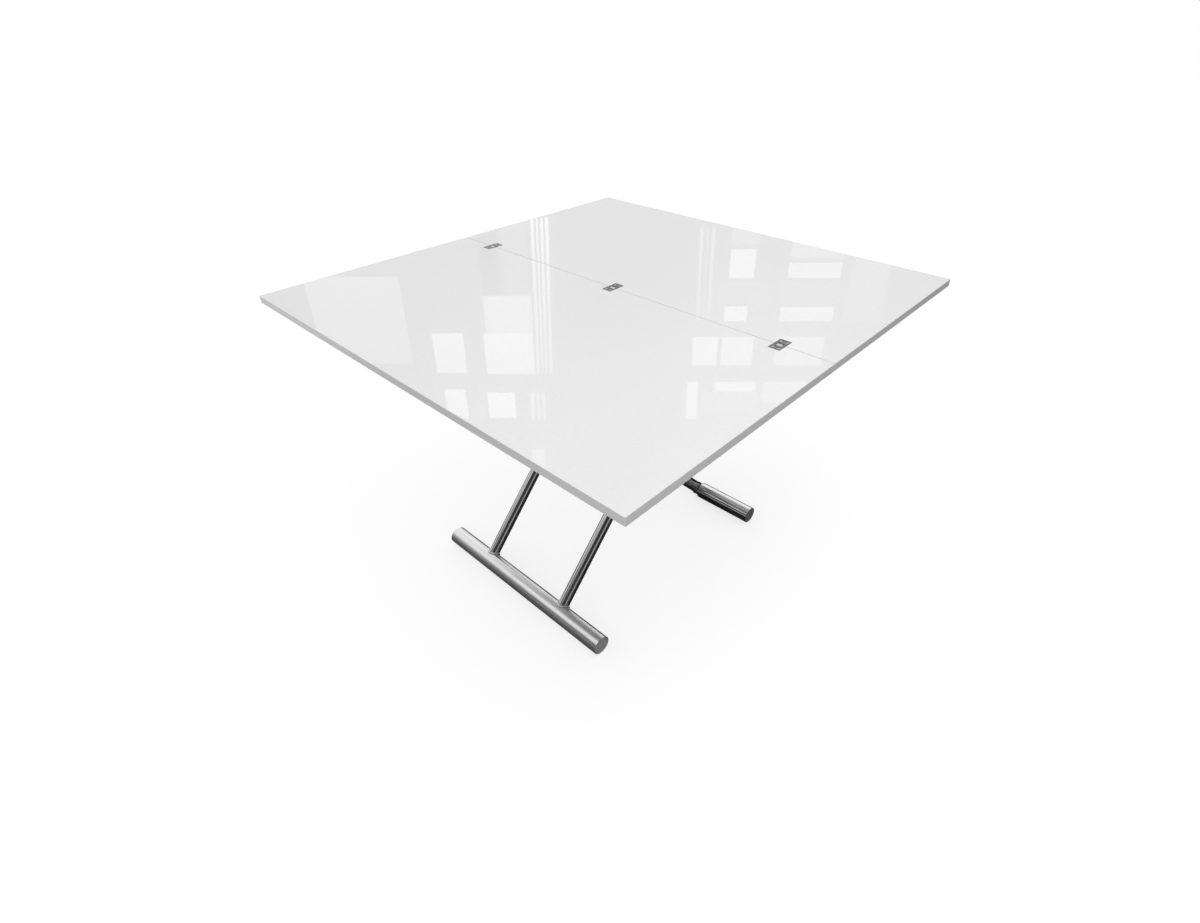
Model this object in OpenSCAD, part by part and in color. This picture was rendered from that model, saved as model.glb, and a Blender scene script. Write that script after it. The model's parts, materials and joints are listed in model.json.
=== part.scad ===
// Convertible coffee-dining table: folding square top on a crossed lifting frame
// Millimetres. X runs along the fold line, Y across it, Z up. Origin on the floor under the middle.

/* [Table top] */
// Length of both leaves along the fold line
top_width = 1200; // [1000:10:1300]
// Depth of each leaf across the fold line
leaf_depth = 600; // [560:10:700]
// Thickness of each leaf
leaf_thick = 18; // [14:1:24]
// Gap between the two leaves along the fold line
fold_gap = 0.3; // [0.2:0.1:0.8]

/* [Height] */
// Height of the open top above the floor
table_height = 768; // [700:1:800]
// Height of the fixed leaf's top face when fully lowered
low_height = 400; // [380:5:450]
// Drop from the underside of the leaves to the upper pivots
pivot_drop = 25; // [24:1:30]

/* [Feet] */
// Place of the fixed foot across the fold line
foot_y = -390; // [-420:5:-360]
// Distance from the fixed foot to the rollers at full height
foot_span = 660; // [620:5:680]
// Outer diameter of the foot tube and the rollers
foot_dia = 50; // [44:1:56]
// Length over the foot tube and over both rollers
foot_length = 610; // [560:10:640]
// Wall of all tubes
tube_wall = 2; // [1.5:0.5:3]
// Thickness of the end caps
cap_thick = 4; // [3:1:6]

/* [Outer frame] */
// Diameter of the round legs
leg_dia = 30; // [26:1:32]
// Distance between the two round legs, centre to centre
leg_spacing = 295; // [290:1:300]
// Diameter of the tube across the top of the round legs
top_tube_dia = 32; // [32:1:36]

/* [Inner frame] */
// Width of the flat-sided arms
arm_width = 36; // [30:1:38]
// Thickness of the flat-sided arms
arm_thick = 18; // [16:1:22]
// Distance over the outer faces of the two arms
arm_span = 229; // [220:1:235]
// Diameter of the round bosses at the ends of the arms
arm_boss_dia = 40; // [38:1:44]
// Diameter of the shaft across the top of the arms
top_shaft_dia = 25; // [22:1:28]
// Diameter of the axle through the rollers
axle_dia = 16; // [14:1:18]

/* [Pivots] */
// Diameter of the crossing bolts
cross_bolt_dia = 12; // [10:1:14]
// Diameter of the upper pivot journals
journal_dia = 12; // [10:1:14]
// Running clearance on a pivot, on the radius
run_fit = 0.05; // [0.02:0.01:0.1]
// Side clearance between moving faces
side_gap = 0.3; // [0.2:0.1:0.6]

/* [Upper frame] */
// Distance between the inner edges of the two rails
rail_inside = 360; // [350:2:370]
// Width of a rail
rail_width = 25; // [22:1:28]
// Height of a rail
rail_height = 30; // [30:1:34]
// Wall of the rails
rail_wall = 2; // [1.5:0.5:3]
// Rail end nearest the fixed foot
rail_start = -440; // [-450:5:-430]
// Room between a rail wheel at the end of its travel and the bar behind it
rail_room = 9; // [5:1:25]
// Width of the bars across the rail ends
bar_width = 25; // [20:1:30]
// Diameter of the glide pads
pad_dia = 24; // [18:1:24]
// Distance from a rail end to the glide pad nearest it
pad_end = 40; // [30:1:50]
// Places of the middle glide pads along the rails
pad_mid = [90, 320];

/* [Swivel] */
// Quarter point that the top turns about, from the middle of the table
swivel_offset = 150; // [145:1:155]
// Thickness of the base plate and of the turning plate
plate_thick = 4; // [3:0.5:5]
// Side of the square turning plate
turn_plate = 190; // [180:5:200]
// Base plate length over both rails
base_length = 450; // [440:5:470]
// Base plate depth
base_depth = 170; // [160:5:180]
// Diameter of the slide disc
slide_dia = 124; // [110:2:130]
// Diameter of the swivel bolt
swivel_bolt_dia = 12; // [10:1:14]
// Radius from the swivel bolt to the stop pin
stop_radius = 78; // [74:1:80]
// Diameter of the stop pin
stop_dia = 8; // [6:1:10]

/* [Fold hinges] */
// Places of the three hinges along the fold line
hinge_x = [-475, 0, 475];
// Width of a hinge along the fold line
hinge_width = 28; // [24:1:34]
// Length of a hinge plate from the fold line
hinge_reach = 25; // [22:1:30]
// Thickness of a hinge plate
hinge_plate = 2; // [1.5:0.5:2.5]
// Distance of each pin from the fold line and from the top face
pin_offset = 2.5; // [2.3:0.1:3]
// Diameter of the hinge pins
pin_dia = 2; // [1.5:0.1:2.2]
// Share of the hinge width that the link takes, in millimetres
link_width = 14; // [10:1:16]

/* [Gas spring] */
// Radius of the gas spring's two pivots from the upper pivot
gas_radius = 250; // [230:5:260]
// Angle of the gas spring's lower pivot below the arms
tab_angle = 28; // [26:1:32]
// Diameter of the gas spring's cylinder
gas_dia = 22; // [20:1:26]
// Diameter of the gas spring's rod
rod_dia = 10; // [8:1:12]
// Length of the cylinder beyond the gas spring's stroke
cylinder_spare = 51; // [44:1:52]
// Diameter of the crossbar that the gas spring pushes on
push_bar_dia = 16; // [14:1:18]
// Free travel of the slotted eye along the gas spring, each way
eye_play = 1.4; // [1.3:0.1:2]

/* [Release lever] */
// Diameter of the release shaft
lever_dia = 10; // [8:1:12]
// Distance from the middle to the end of the release shaft
lever_end = 286; // [280:1:290]
// Length of the lever plate from the shaft to its tip
lever_reach = 95; // [80:5:110]
// Width of the lever plate
lever_width = 40; // [30:1:44]
// Turn of the lever from rest to released
lever_turn = 25; // [20:1:28]
// Droop of the lever plate at rest
lever_droop = 20; // [15:1:25]

/* [Hidden] */
$fn = 64;

// Colours
white = "white";
steel = [0.62, 0.63, 0.64];
dark_steel = [0.36, 0.37, 0.38];
zinc = [0.75, 0.76, 0.78];
black = [0.09, 0.09, 0.1];
nylon = [0.88, 0.87, 0.83];

// Levels
leaf_under = table_height - leaf_thick;
pivot_z = leaf_under - pivot_drop;
rail_top = pivot_z + rail_height / 2;
rail_low = pivot_z - rail_height / 2;
base_top = rail_top + plate_thick;
turn_low = leaf_under - plate_thick;

// Places across the fold line
foot_r = foot_dia / 2;
roll_y = foot_y + foot_span;
pivot_y = foot_y;
mid_y = (foot_y + roll_y) / 2;
mid_z = (foot_r + pivot_z) / 2;

// Crossed frame
arm_rise = pivot_z - foot_r;
arm_length = sqrt(foot_span * foot_span + arm_rise * arm_rise);
arm_angle = atan2(arm_rise, foot_span);
low_rise = arm_rise - (table_height - low_height);
lift_turn = arm_angle - asin(low_rise / arm_length);
travel_end = pivot_y + arm_length * cos(arm_angle - lift_turn);
leg_x = leg_spacing / 2;
arm_out = arm_span / 2;
arm_in = arm_out - arm_thick;
foot_end = foot_length / 2;

// Rails and wheels
rail_in = rail_inside / 2;
rail_out = rail_in + rail_width;
web_in = rail_out - rail_wall;
wheel_r = rail_height / 2 - rail_wall - side_gap;
wheel_in = rail_in + 3;
wheel_out = web_in - 3;
stub_r = 5;
collar_r = 8;
clip_thick = 1.2;
rail_end = travel_end + wheel_r + rail_room + bar_width;
pad_y = concat(rail_start + pad_end, pad_mid, rail_end - pad_end);
bar_height = rail_height - 2 * rail_wall;
pad_x = rail_in + rail_width / 2;
bush_r = rail_height / 2 - rail_wall;

// Crossing
sleeve_r = cross_bolt_dia / 2 + 3;
vent_r = 2.5;
boss_proud = 0.5;
sleeve_out = leg_x + leg_dia / 2 + 2;
sleeve_in = leg_x - leg_dia / 2 - 2;
head_thick = 6;
nut_thick = 8;

// Rollers
axle_washer = 1.2;
washer_in = arm_out + boss_proud;
roller_in = washer_in + axle_washer + side_gap;
roller_bush = 16;
axle_end = foot_end - cap_thick - 2;

// Swivel
swivel_x = -swivel_offset;
swivel_y = -swivel_offset;
stop_clear = 0.3;
base_edge = 20;
base_bolt_y = [swivel_y - base_depth / 2 + base_edge, swivel_y + base_depth / 2 - base_edge];
turn_screw = turn_plate / 2 - 15;

// Fold hinges
knuckle_r = pin_offset - 0.1;
pin_z = table_height - pin_offset;
pin_y = pin_offset + 0.1;
recess_gap = 0.1;
plate_start = pin_y + knuckle_r + 0.2;
screw_y = (plate_start + hinge_reach) / 2 + 1;
screw_x = hinge_width / 4;

// Gas spring, in its own line from the shaft to the push bar
gas_y = pivot_y + gas_radius;
gas_angle = arm_angle + tab_angle;
push_y = pivot_y + gas_radius * cos(gas_angle);
push_z = pivot_z - gas_radius * sin(gas_angle);
gas_full = 2 * gas_radius * sin(gas_angle / 2);
gas_short = 2 * gas_radius * sin((gas_angle - lift_turn) / 2);
gas_stroke = gas_full - gas_short;
head_end = 30;
head_half = 15;
head_r = 11;
head_back = 9;
cavity_half = 8.5;
lug_thick = 5;
lug_in = head_half + side_gap;
lug_half = 18;
eye_r = push_bar_dia / 2 + 5;
cyl_far = gas_full - eye_r - 2;
cylinder_length = gas_stroke + cylinder_spare;
cyl_near = cyl_far - cylinder_length;
guide_long = 5;
piston_long = 8;
rod_tip = cyl_near + guide_long + 2 + piston_long;
tab_half = 60;
button_bore = 40;
finger_reach = 10;
finger_turn = lever_turn + 15;
finger_r = 2;
button_at = finger_reach * cos(finger_turn) + finger_r + side_gap;
button_thick = 2;

// Release lever
lever_plate = 4;
hub_r = lever_dia / 2 + 4;
lever_in = rail_out + 34;
clip_x = lug_in + lug_thick + side_gap;

// A point of the crossed frame, d millimetres along a line from p to q
function along(p, q, d) = p + d * (q - p) / norm(q - p);

// Round bar or tube along X
module x_tube(x0, x1, r, bore = 0) {
    translate([x0, 0, 0]) rotate([0, 90, 0]) difference() {
        cylinder(h = x1 - x0, r = r);
        if (bore > 0) translate([0, 0, -1]) cylinder(h = x1 - x0 + 2, r = bore);
    }
}

// Places children at a point across the fold line and above the floor
module at(y, z) {
    translate([0, y, z]) children();
}

// Turns children so that their Z axis runs from p to q
module between(p, q) {
    turn = -atan2(q[0] - p[0], q[1] - p[1]);
    translate([0, p[0], p[1]]) rotate([turn, 0, 0]) children();
}

// The same piece on both sides of the middle
module pair() {
    children();
    mirror([1, 0, 0]) children();
}

foot_point = [foot_y, foot_r];
roll_point = [roll_y, foot_r];
pivot_point = [pivot_y, pivot_z];
wheel_point = [roll_y, pivot_z];
cross_point = [mid_y, mid_z];
shaft_point = [gas_y, pivot_z];
push_point = [push_y, push_z];

// Board of one leaf, on the side where y is positive
module leaf_board() {
    half_gap = fold_gap / 2;
    difference() {
        translate([-top_width / 2, half_gap, leaf_under])
            cube([top_width, leaf_depth - half_gap, leaf_thick]);
        // round arris along the fold, centred on the hinge pins
        difference() {
            translate([-top_width / 2 - 1, -1, pin_z])
                cube([top_width + 2, pin_y + 1, pin_offset + 1]);
            at(pin_y, pin_z) x_tube(-top_width / 2 - 2, top_width / 2 + 2, pin_y - fold_gap / 2);
        }
        for (x = hinge_x) translate([x, 0, 0]) hinge_recess();
    }
}

// Pocket that a hinge sits in
module hinge_recess() {
    half = hinge_width / 2 + recess_gap;
    translate([-half, -1, table_height - hinge_plate])
        cube([2 * half, hinge_reach + recess_gap + 1, hinge_plate + 1]);
    deep = pin_offset + knuckle_r + 0.4;
    translate([-half, -1, table_height - deep]) cube([2 * half, plate_start + 1, deep + 1]);
    for (s = [-1, 1]) translate([s * screw_x, screw_y, 0]) wood_screw(table_height);
}

// Countersunk wood screw with its head flush at level z
module wood_screw(z, long = 13, head = 3, shank = 1.6) {
    translate([0, 0, z - long]) cylinder(h = long, r = shank);
    translate([0, 0, z - head + shank]) cylinder(h = head - shank, r1 = shank, r2 = head);
}

module fixed_leaf() {
    color(white) difference() {
        mirror([0, 1, 0]) leaf_board();
        turn_screws(0);
    }
}

module folding_leaf() {
    color(white) leaf_board();
}

// Hinge plate with its two outer knuckles, on the side where y is positive
module hinge_plate_half() {
    half = hinge_width / 2;
    difference() {
        union() {
            translate([-half, plate_start, table_height - hinge_plate])
                cube([hinge_width, hinge_reach - plate_start, hinge_plate]);
            for (s = [0, 1]) mirror([s, 0, 0]) {
                arm = half - link_width / 2 - 0.1;
                translate([half - arm, pin_y, table_height - hinge_plate])
                    cube([arm, plate_start - pin_y, hinge_plate - 0.1]);
                at(pin_y, pin_z) x_tube(half - arm, half, knuckle_r);
            }
        }
        at(pin_y, pin_z) x_tube(-half - 1, half + 1, pin_dia / 2);
        for (s = [-1, 1]) translate([s * screw_x, screw_y, 0]) wood_screw(table_height);
    }
}

module at_hinges() {
    for (x = hinge_x) translate([x, 0, 0]) children();
}

module hinge_plates_fixed() {
    color(zinc) at_hinges() mirror([0, 1, 0]) hinge_plate_half();
}

module hinge_plates_folding() {
    color(zinc) at_hinges() hinge_plate_half();
}

module hinge_links() {
    half = link_width / 2;
    color(zinc) at_hinges() difference() {
        union() {
            for (s = [-1, 1]) at(s * pin_y, pin_z) x_tube(-half, half, knuckle_r);
            translate([-half, -pin_y, pin_z - 1.2]) cube([link_width, 2 * pin_y, 2.4]);
        }
        for (s = [-1, 1]) at(s * pin_y, pin_z) x_tube(-half - 1, half + 1, pin_dia / 2 + run_fit);
    }
}

module hinge_pin() {
    at(pin_y, pin_z) x_tube(-hinge_width / 2, hinge_width / 2, pin_dia / 2);
}

module hinge_pins_fixed() {
    color(steel) at_hinges() mirror([0, 1, 0]) hinge_pin();
}

module hinge_pins_folding() {
    color(steel) at_hinges() hinge_pin();
}

// Wood screw with a cross slot
module slotted_screw(z) {
    difference() {
        wood_screw(z);
        for (a = [0, 90]) rotate([0, 0, a]) translate([-2, -0.35, z - 1]) cube([4, 0.7, 2]);
    }
}

module hinge_screws_fixed() {
    color(zinc) at_hinges() for (s = [-1, 1])
        translate([s * screw_x, -screw_y, 0]) slotted_screw(table_height);
}

module hinge_screws_folding() {
    color(zinc) at_hinges() for (s = [-1, 1])
        translate([s * screw_x, screw_y, 0]) slotted_screw(table_height);
}

module at_swivel() {
    translate([swivel_x, swivel_y, 0]) children();
}

// Screws that hold the turning plate, heads down and flush with it
module turn_screws(slot) {
    at_swivel() for (sx = [-1, 1]) for (sy = [-1, 1]) translate([sx * turn_screw, sy * turn_screw, turn_low])
        mirror([0, 0, 1]) difference() {
            wood_screw(0, long = 15, head = 4, shank = 2);
            if (slot > 0) for (a = [0, 90]) rotate([0, 0, a])
                translate([-2.5, -0.4, -1.2]) cube([5, 0.8, 3]);
        }
}

module turn_plate() {
    slot_r = stop_dia / 2 + stop_clear;
    color(zinc) difference() {
        at_swivel() translate([-turn_plate / 2, -turn_plate / 2, turn_low])
            cube([turn_plate, turn_plate, plate_thick]);
        turn_screws(0);
        at_swivel() {
            translate([0, 0, turn_low - 1]) cylinder(h = plate_thick + 2, r = swivel_bolt_dia / 2);
            translate([0, 0, leaf_under - 2]) cylinder(h = 3, r = swivel_bolt_dia);
            // the slot that the stop pin runs in, a quarter turn long
            translate([0, 0, turn_low - 1]) {
                rotate([0, 0, -90]) rotate_extrude(angle = 90)
                    translate([stop_radius - slot_r, 0]) square([2 * slot_r, plate_thick + 2]);
                for (a = [0, -90]) rotate([0, 0, a]) translate([stop_radius, 0, 0])
                    cylinder(h = plate_thick + 2, r = slot_r);
            }
        }
    }
}

module turn_plate_screws() {
    color(zinc) turn_screws(1);
}

module slide_disc() {
    color(nylon) at_swivel() translate([0, 0, base_top]) difference() {
        cylinder(h = turn_low - base_top, d = slide_dia);
        translate([0, 0, -1]) cylinder(h = turn_low - base_top + 2, r = swivel_bolt_dia / 2 + side_gap);
    }
}

module swivel_bolt() {
    color(zinc) at_swivel() {
        translate([0, 0, leaf_under - 2]) cylinder(h = 2, r = swivel_bolt_dia);
        translate([0, 0, rail_top - 18]) cylinder(h = leaf_under - 2 - rail_top + 18, d = swivel_bolt_dia);
    }
}

// Lock nut with a round flange
module swivel_nut() {
    color(zinc) at_swivel() difference() {
        union() {
            translate([0, 0, rail_top - side_gap - 2]) cylinder(h = 2, r = swivel_bolt_dia);
            translate([0, 0, rail_top - side_gap - 12]) cylinder(h = 10, d = swivel_bolt_dia * 1.8, $fn = 6);
        }
        translate([0, 0, rail_top - 20]) cylinder(h = 30, d = swivel_bolt_dia);
    }
}

// Channel rail on the right, open towards the middle
module rail() {
    color(dark_steel) difference() {
        translate([rail_in, rail_start, rail_low]) cube([rail_width, rail_end - rail_start, rail_height]);
        translate([rail_in - 1, rail_start - 1, rail_low + rail_wall])
            cube([rail_width - rail_wall + 1, rail_end - rail_start + 2, bar_height]);
        at(pivot_y, pivot_z) x_tube(rail_in, rail_out + 1, journal_dia / 2 + side_gap);
        for (y = base_bolt_y) translate([pad_x, y, rail_top - rail_wall - 1])
            cylinder(h = rail_wall + 2, r = 3);
        for (y = pad_y) translate([pad_x, y, rail_top - rail_wall - 1]) cylinder(h = rail_wall + 2, r = 4);
        at(gas_y, pivot_z) x_tube(rail_in, rail_out + 1, lever_dia / 2 + side_gap);
    }
}

module rail_left() {
    mirror([1, 0, 0]) rail();
}

module rail_right() {
    rail();
}

// Square tube across the rail ends, starting at y
module cross_bar(y) {
    color(dark_steel) translate([-web_in, y, rail_low + rail_wall]) difference() {
        cube([2 * web_in, bar_width, bar_height]);
        translate([-1, rail_wall, rail_wall])
            cube([2 * web_in + 2, bar_width - 2 * rail_wall, bar_height - 2 * rail_wall]);
    }
}

module front_bar() {
    cross_bar(rail_start);
}

module rear_bar() {
    cross_bar(rail_end - bar_width);
}

// Countersunk bolt through the base plate and the rail, one per corner
module base_bolt() {
    translate([0, 0, rail_top - 9]) cylinder(h = 9 + plate_thick, r = 3);
    translate([0, 0, base_top - 2.5]) cylinder(h = 2.5, r1 = 3, r2 = 5.5);
}

module at_base_bolts() {
    pair() for (y = base_bolt_y) translate([pad_x, y, 0]) children();
}

module base_plate() {
    color(dark_steel) difference() {
        translate([-base_length / 2, swivel_y - base_depth / 2, rail_top])
            cube([base_length, base_depth, plate_thick]);
        at_swivel() translate([0, 0, rail_top - 1])
            cylinder(h = plate_thick + 2, r = swivel_bolt_dia / 2 + run_fit);
        at_swivel() translate([stop_radius, 0, rail_top - 1]) cylinder(h = plate_thick + 2, d = stop_dia);
        at_base_bolts() base_bolt();
    }
}

module base_bolts() {
    color(zinc) at_base_bolts() difference() {
        base_bolt();
        translate([0, 0, base_top - 2]) cylinder(h = 3, r = 2, $fn = 6);
    }
}

module base_nuts() {
    color(zinc) at_base_bolts() translate([0, 0, rail_top - rail_wall - 5]) difference() {
        cylinder(h = 5, r = 5.5, $fn = 6);
        translate([0, 0, -1]) cylinder(h = 7, r = 3);
    }
}

module stop_pin() {
    color(steel) at_swivel() translate([stop_radius, 0, rail_top])
        cylinder(h = leaf_under - rail_top - 0.5, d = stop_dia);
}

module glide_pads() {
    color(nylon) pair() for (y = pad_y) translate([pad_x, y, 0]) {
        translate([0, 0, rail_top]) cylinder(h = leaf_under - rail_top, d = pad_dia);
        translate([0, 0, rail_top - rail_wall]) cylinder(h = rail_wall, r = 4);
    }
}

module pivot_bushes() {
    color(zinc) pair() at(pivot_y, pivot_z) x_tube(rail_in + 1, web_in, bush_r, journal_dia / 2 + run_fit);
}

module gas_lugs() {
    color(dark_steel) pair() difference() {
        union() {
            translate([lug_in, gas_y - lug_half, pivot_z])
                cube([lug_thick, 2 * lug_half, rail_top - pivot_z]);
            at(gas_y, pivot_z) x_tube(lug_in, lug_in + lug_thick, lug_half);
        }
        translate([lug_in - 1, gas_y - lug_half - 1, rail_top])
            cube([lug_thick + 2, 2 * lug_half + 2, lug_half]);
        at(gas_y, pivot_z) x_tube(lug_in - 1, lug_in + lug_thick + 1, lever_dia / 2 + run_fit);
    }
}

module foot_tube() {
    color(steel) at(foot_y, foot_r) x_tube(-foot_end, foot_end, foot_r, foot_r - tube_wall);
}

module foot_caps() {
    color(dark_steel) pair() at(foot_y, foot_r)
        x_tube(foot_end - cap_thick, foot_end - 0.5, foot_r - tube_wall);
}

module outer_leg() {
    color(steel) difference() {
        between(foot_point, wheel_point) translate([leg_x, 0, 0]) difference() {
            cylinder(h = arm_length, d = leg_dia);
            translate([0, 0, -1]) cylinder(h = arm_length + 2, d = leg_dia - 2 * tube_wall);
        }
        at(foot_y, foot_r) x_tube(0, foot_end, foot_r);
        at(roll_y, pivot_z) x_tube(0, foot_end, top_tube_dia / 2);
        at(mid_y, mid_z) x_tube(0, foot_end, sleeve_r);
    }
}

module outer_leg_left() {
    mirror([1, 0, 0]) outer_leg();
}

module outer_leg_right() {
    outer_leg();
}

module outer_top_tube() {
    tube_end = rail_in - 2;
    color(steel) at(roll_y, pivot_z) {
        difference() {
            x_tube(-tube_end, tube_end, top_tube_dia / 2, top_tube_dia / 2 - tube_wall);
            pair() translate([leg_x / 2, 0, -top_tube_dia]) cylinder(h = top_tube_dia, r = vent_r);
        }
        pair() {
            x_tube(tube_end - 4, tube_end, top_tube_dia / 2 - tube_wall);
            x_tube(tube_end, wheel_in - side_gap, collar_r);
            x_tube(wheel_in - side_gap, web_in - 1, stub_r);
        }
    }
}

module crossing_sleeves() {
    color(steel) pair() at(mid_y, mid_z) x_tube(sleeve_in, sleeve_out, sleeve_r, cross_bolt_dia / 2);
}

module crossing_spacers() {
    color(nylon) pair() at(mid_y, mid_z)
        x_tube(arm_out + side_gap, sleeve_in, sleeve_r + 2, cross_bolt_dia / 2);
}

module crossing_bolts() {
    bolt_in = arm_in - side_gap - 2 - nut_thick - 3;
    color(zinc) pair() at(mid_y, mid_z) difference() {
        union() {
            x_tube(bolt_in, sleeve_out, cross_bolt_dia / 2);
            x_tube(sleeve_out, sleeve_out + head_thick, cross_bolt_dia * 0.85);
        }
        translate([sleeve_out + head_thick - 3, 0, 0]) rotate([0, 90, 0]) cylinder(h = 4, r = 4, $fn = 6);
    }
}

module crossing_nuts() {
    nut_out = arm_in - side_gap;
    color(zinc) pair() at(mid_y, mid_z) {
        x_tube(nut_out - 2, nut_out, cross_bolt_dia, cross_bolt_dia / 2);
        translate([nut_out - 2 - nut_thick, 0, 0]) rotate([0, 90, 0]) difference() {
            cylinder(h = nut_thick, d = cross_bolt_dia * 1.8, $fn = 6);
            translate([0, 0, -1]) cylinder(h = nut_thick + 2, d = cross_bolt_dia);
        }
    }
}

// Grooved wheel that runs in the right rail
module rail_wheel() {
    color(nylon) at(roll_y, pivot_z) difference() {
        x_tube(wheel_in, wheel_out, wheel_r, stub_r + run_fit);
        translate([wheel_in - 1, 0, 0]) rotate([0, 90, 0]) difference() {
            cylinder(h = 3, r = wheel_r - 2);
            cylinder(h = 3, r = stub_r + 2);
        }
    }
}

module rail_wheel_left() {
    mirror([1, 0, 0]) rail_wheel();
}

module rail_wheel_right() {
    rail_wheel();
}

module wheel_clips() {
    color(zinc) pair() at(roll_y, pivot_z)
        x_tube(wheel_out + side_gap, wheel_out + side_gap + clip_thick, collar_r, stub_r);
}

// Flat-oval section, as wide as the arm or smaller by the wall all round
module arm_section(less = 0) {
    half_flat = (arm_width - arm_thick) / 2;
    for (s = [-1, 1]) translate([0, s * half_flat]) circle(d = arm_thick - 2 * less);
    square([arm_thick - 2 * less, 2 * half_flat], center = true);
}

// Flat-sided tube arm on the right, with bosses and the tab for the push bar
module inner_arm() {
    mid_x = arm_in + arm_thick / 2;
    boss_r = arm_boss_dia / 2;
    dir = (roll_point - pivot_point) / arm_length;
    tab_mid = gas_radius * cos(tab_angle);
    tab_r = push_bar_dia / 2 + 7;
    difference() {
        union() {
            between(roll_point, pivot_point) translate([mid_x, 0, 0])
                linear_extrude(height = arm_length) arm_section();
            at(roll_y, foot_r) x_tube(arm_in - boss_proud, arm_out + boss_proud, boss_r);
            at(pivot_y, pivot_z) x_tube(arm_in - boss_proud, arm_out + boss_proud, boss_r);
            translate([arm_in - 5, 0, 0]) rotate([90, 0, 90]) linear_extrude(height = 6)
                polygon([pivot_point + (tab_mid - tab_half) * dir, pivot_point + (tab_mid + tab_half) * dir,
                    push_point + tab_r * dir, push_point - tab_r * dir]);
            at(push_y, push_z) x_tube(arm_in - 5, arm_in + 1, tab_r);
        }
        // hollow inside, closed by the bosses and the crossing
        difference() {
            between(roll_point, pivot_point) translate([mid_x, 0, boss_r])
                linear_extrude(height = arm_length - 2 * boss_r) arm_section(tube_wall);
            at(mid_y, mid_z) x_tube(arm_in - 1, arm_out + 1, sleeve_r);
        }
        // vent holes in the inner face
        between(roll_point, pivot_point) for (d = [2 * arm_boss_dia, arm_length - 2 * arm_boss_dia])
            translate([0, 0, d]) x_tube(0, mid_x, vent_r);
        at(mid_y, mid_z) x_tube(0, foot_end, cross_bolt_dia / 2 + run_fit);
        at(roll_y, foot_r) x_tube(0, foot_end, axle_dia / 2);
        at(pivot_y, pivot_z) x_tube(0, foot_end, top_shaft_dia / 2);
        at(push_y, push_z) x_tube(0, arm_in + 2, push_bar_dia / 2);
    }
}

module inner_arm_left() {
    mirror([1, 0, 0]) inner_arm();
}

module inner_arm_right() {
    inner_arm();
}

module inner_top_shaft() {
    shaft_end = rail_in - 2;
    color(steel) at(pivot_y, pivot_z) {
        x_tube(-shaft_end, shaft_end, top_shaft_dia / 2);
        pair() x_tube(shaft_end, rail_out + 4, journal_dia / 2);
    }
}

module shaft_clips() {
    clip_in = rail_out + side_gap;
    color(zinc) pair() at(pivot_y, pivot_z)
        x_tube(clip_in, clip_in + clip_thick, collar_r + 2, journal_dia / 2);
}

module push_bar() {
    color(steel) at(push_y, push_z) x_tube(-arm_in, arm_in, push_bar_dia / 2);
}

module roller_axle() {
    color(steel) at(roll_y, foot_r) x_tube(-axle_end, axle_end, axle_dia / 2);
}

module axle_washers() {
    color(zinc) pair() at(roll_y, foot_r)
        x_tube(washer_in, washer_in + axle_washer, axle_dia / 2 + 6, axle_dia / 2);
}

module axle_clips() {
    clip_in = axle_end - 1 - clip_thick;
    color(zinc) pair() at(roll_y, foot_r)
        x_tube(clip_in, clip_in + clip_thick, axle_dia / 2 + 4, axle_dia / 2);
}

// Floor roller on the right
module roller() {
    color(steel) at(roll_y, foot_r) x_tube(roller_in, foot_end, foot_r, foot_r - tube_wall);
}

// Two plain bearings inside a roller
module roller_bushes() {
    bush_end = axle_end - 1 - clip_thick - side_gap;
    color(nylon) at(roll_y, foot_r) {
        x_tube(roller_in, roller_in + roller_bush, foot_r - tube_wall, axle_dia / 2 + run_fit);
        x_tube(bush_end - roller_bush, bush_end, foot_r - tube_wall, axle_dia / 2 + run_fit);
    }
}

module roller_cap() {
    color(dark_steel) at(roll_y, foot_r) x_tube(foot_end - cap_thick, foot_end - 0.5, foot_r - tube_wall);
}

module roller_left() {
    mirror([1, 0, 0]) roller();
}

module roller_right() {
    roller();
}

module roller_bushes_left() {
    mirror([1, 0, 0]) roller_bushes();
}

module roller_bushes_right() {
    roller_bushes();
}

module roller_cap_left() {
    mirror([1, 0, 0]) roller_cap();
}

module roller_cap_right() {
    roller_cap();
}

// Gas spring's own line: Z runs from the release shaft to the push bar
module on_gas_line() {
    between(shaft_point, push_point) children();
}

// Fork that holds the rod, on the release shaft
module release_head() {
    color(dark_steel) difference() {
        on_gas_line() translate([-head_half, -head_r, -head_back])
            cube([2 * head_half, 2 * head_r, head_back + head_end]);
        on_gas_line() {
            translate([-cavity_half, -head_r - 1, -head_back - 1])
                cube([2 * cavity_half, 2 * head_r + 2, head_back + 1 + head_end - 10]);
            cylinder(h = head_end + 1, r = rod_dia / 2);
        }
        at(gas_y, pivot_z) x_tube(-head_half - 1, head_half + 1, lever_dia / 2 + run_fit);
    }
}

module gas_rod() {
    color(zinc) on_gas_line() difference() {
        union() {
            translate([0, 0, head_end - 10]) cylinder(h = rod_tip - head_end + 10, d = rod_dia);
            translate([0, 0, rod_tip - piston_long]) cylinder(h = piston_long, r = gas_dia / 2 - 1.5 - 0.2);
        }
        translate([0, 0, head_end - 11]) cylinder(h = button_bore, r = 2 + run_fit);
    }
}

module release_button() {
    color(steel) on_gas_line() translate([0, 0, button_at]) {
        cylinder(h = button_thick, r = 7.5);
        cylinder(h = head_end - 10 - button_at + 15, r = 2);
    }
}

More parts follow.
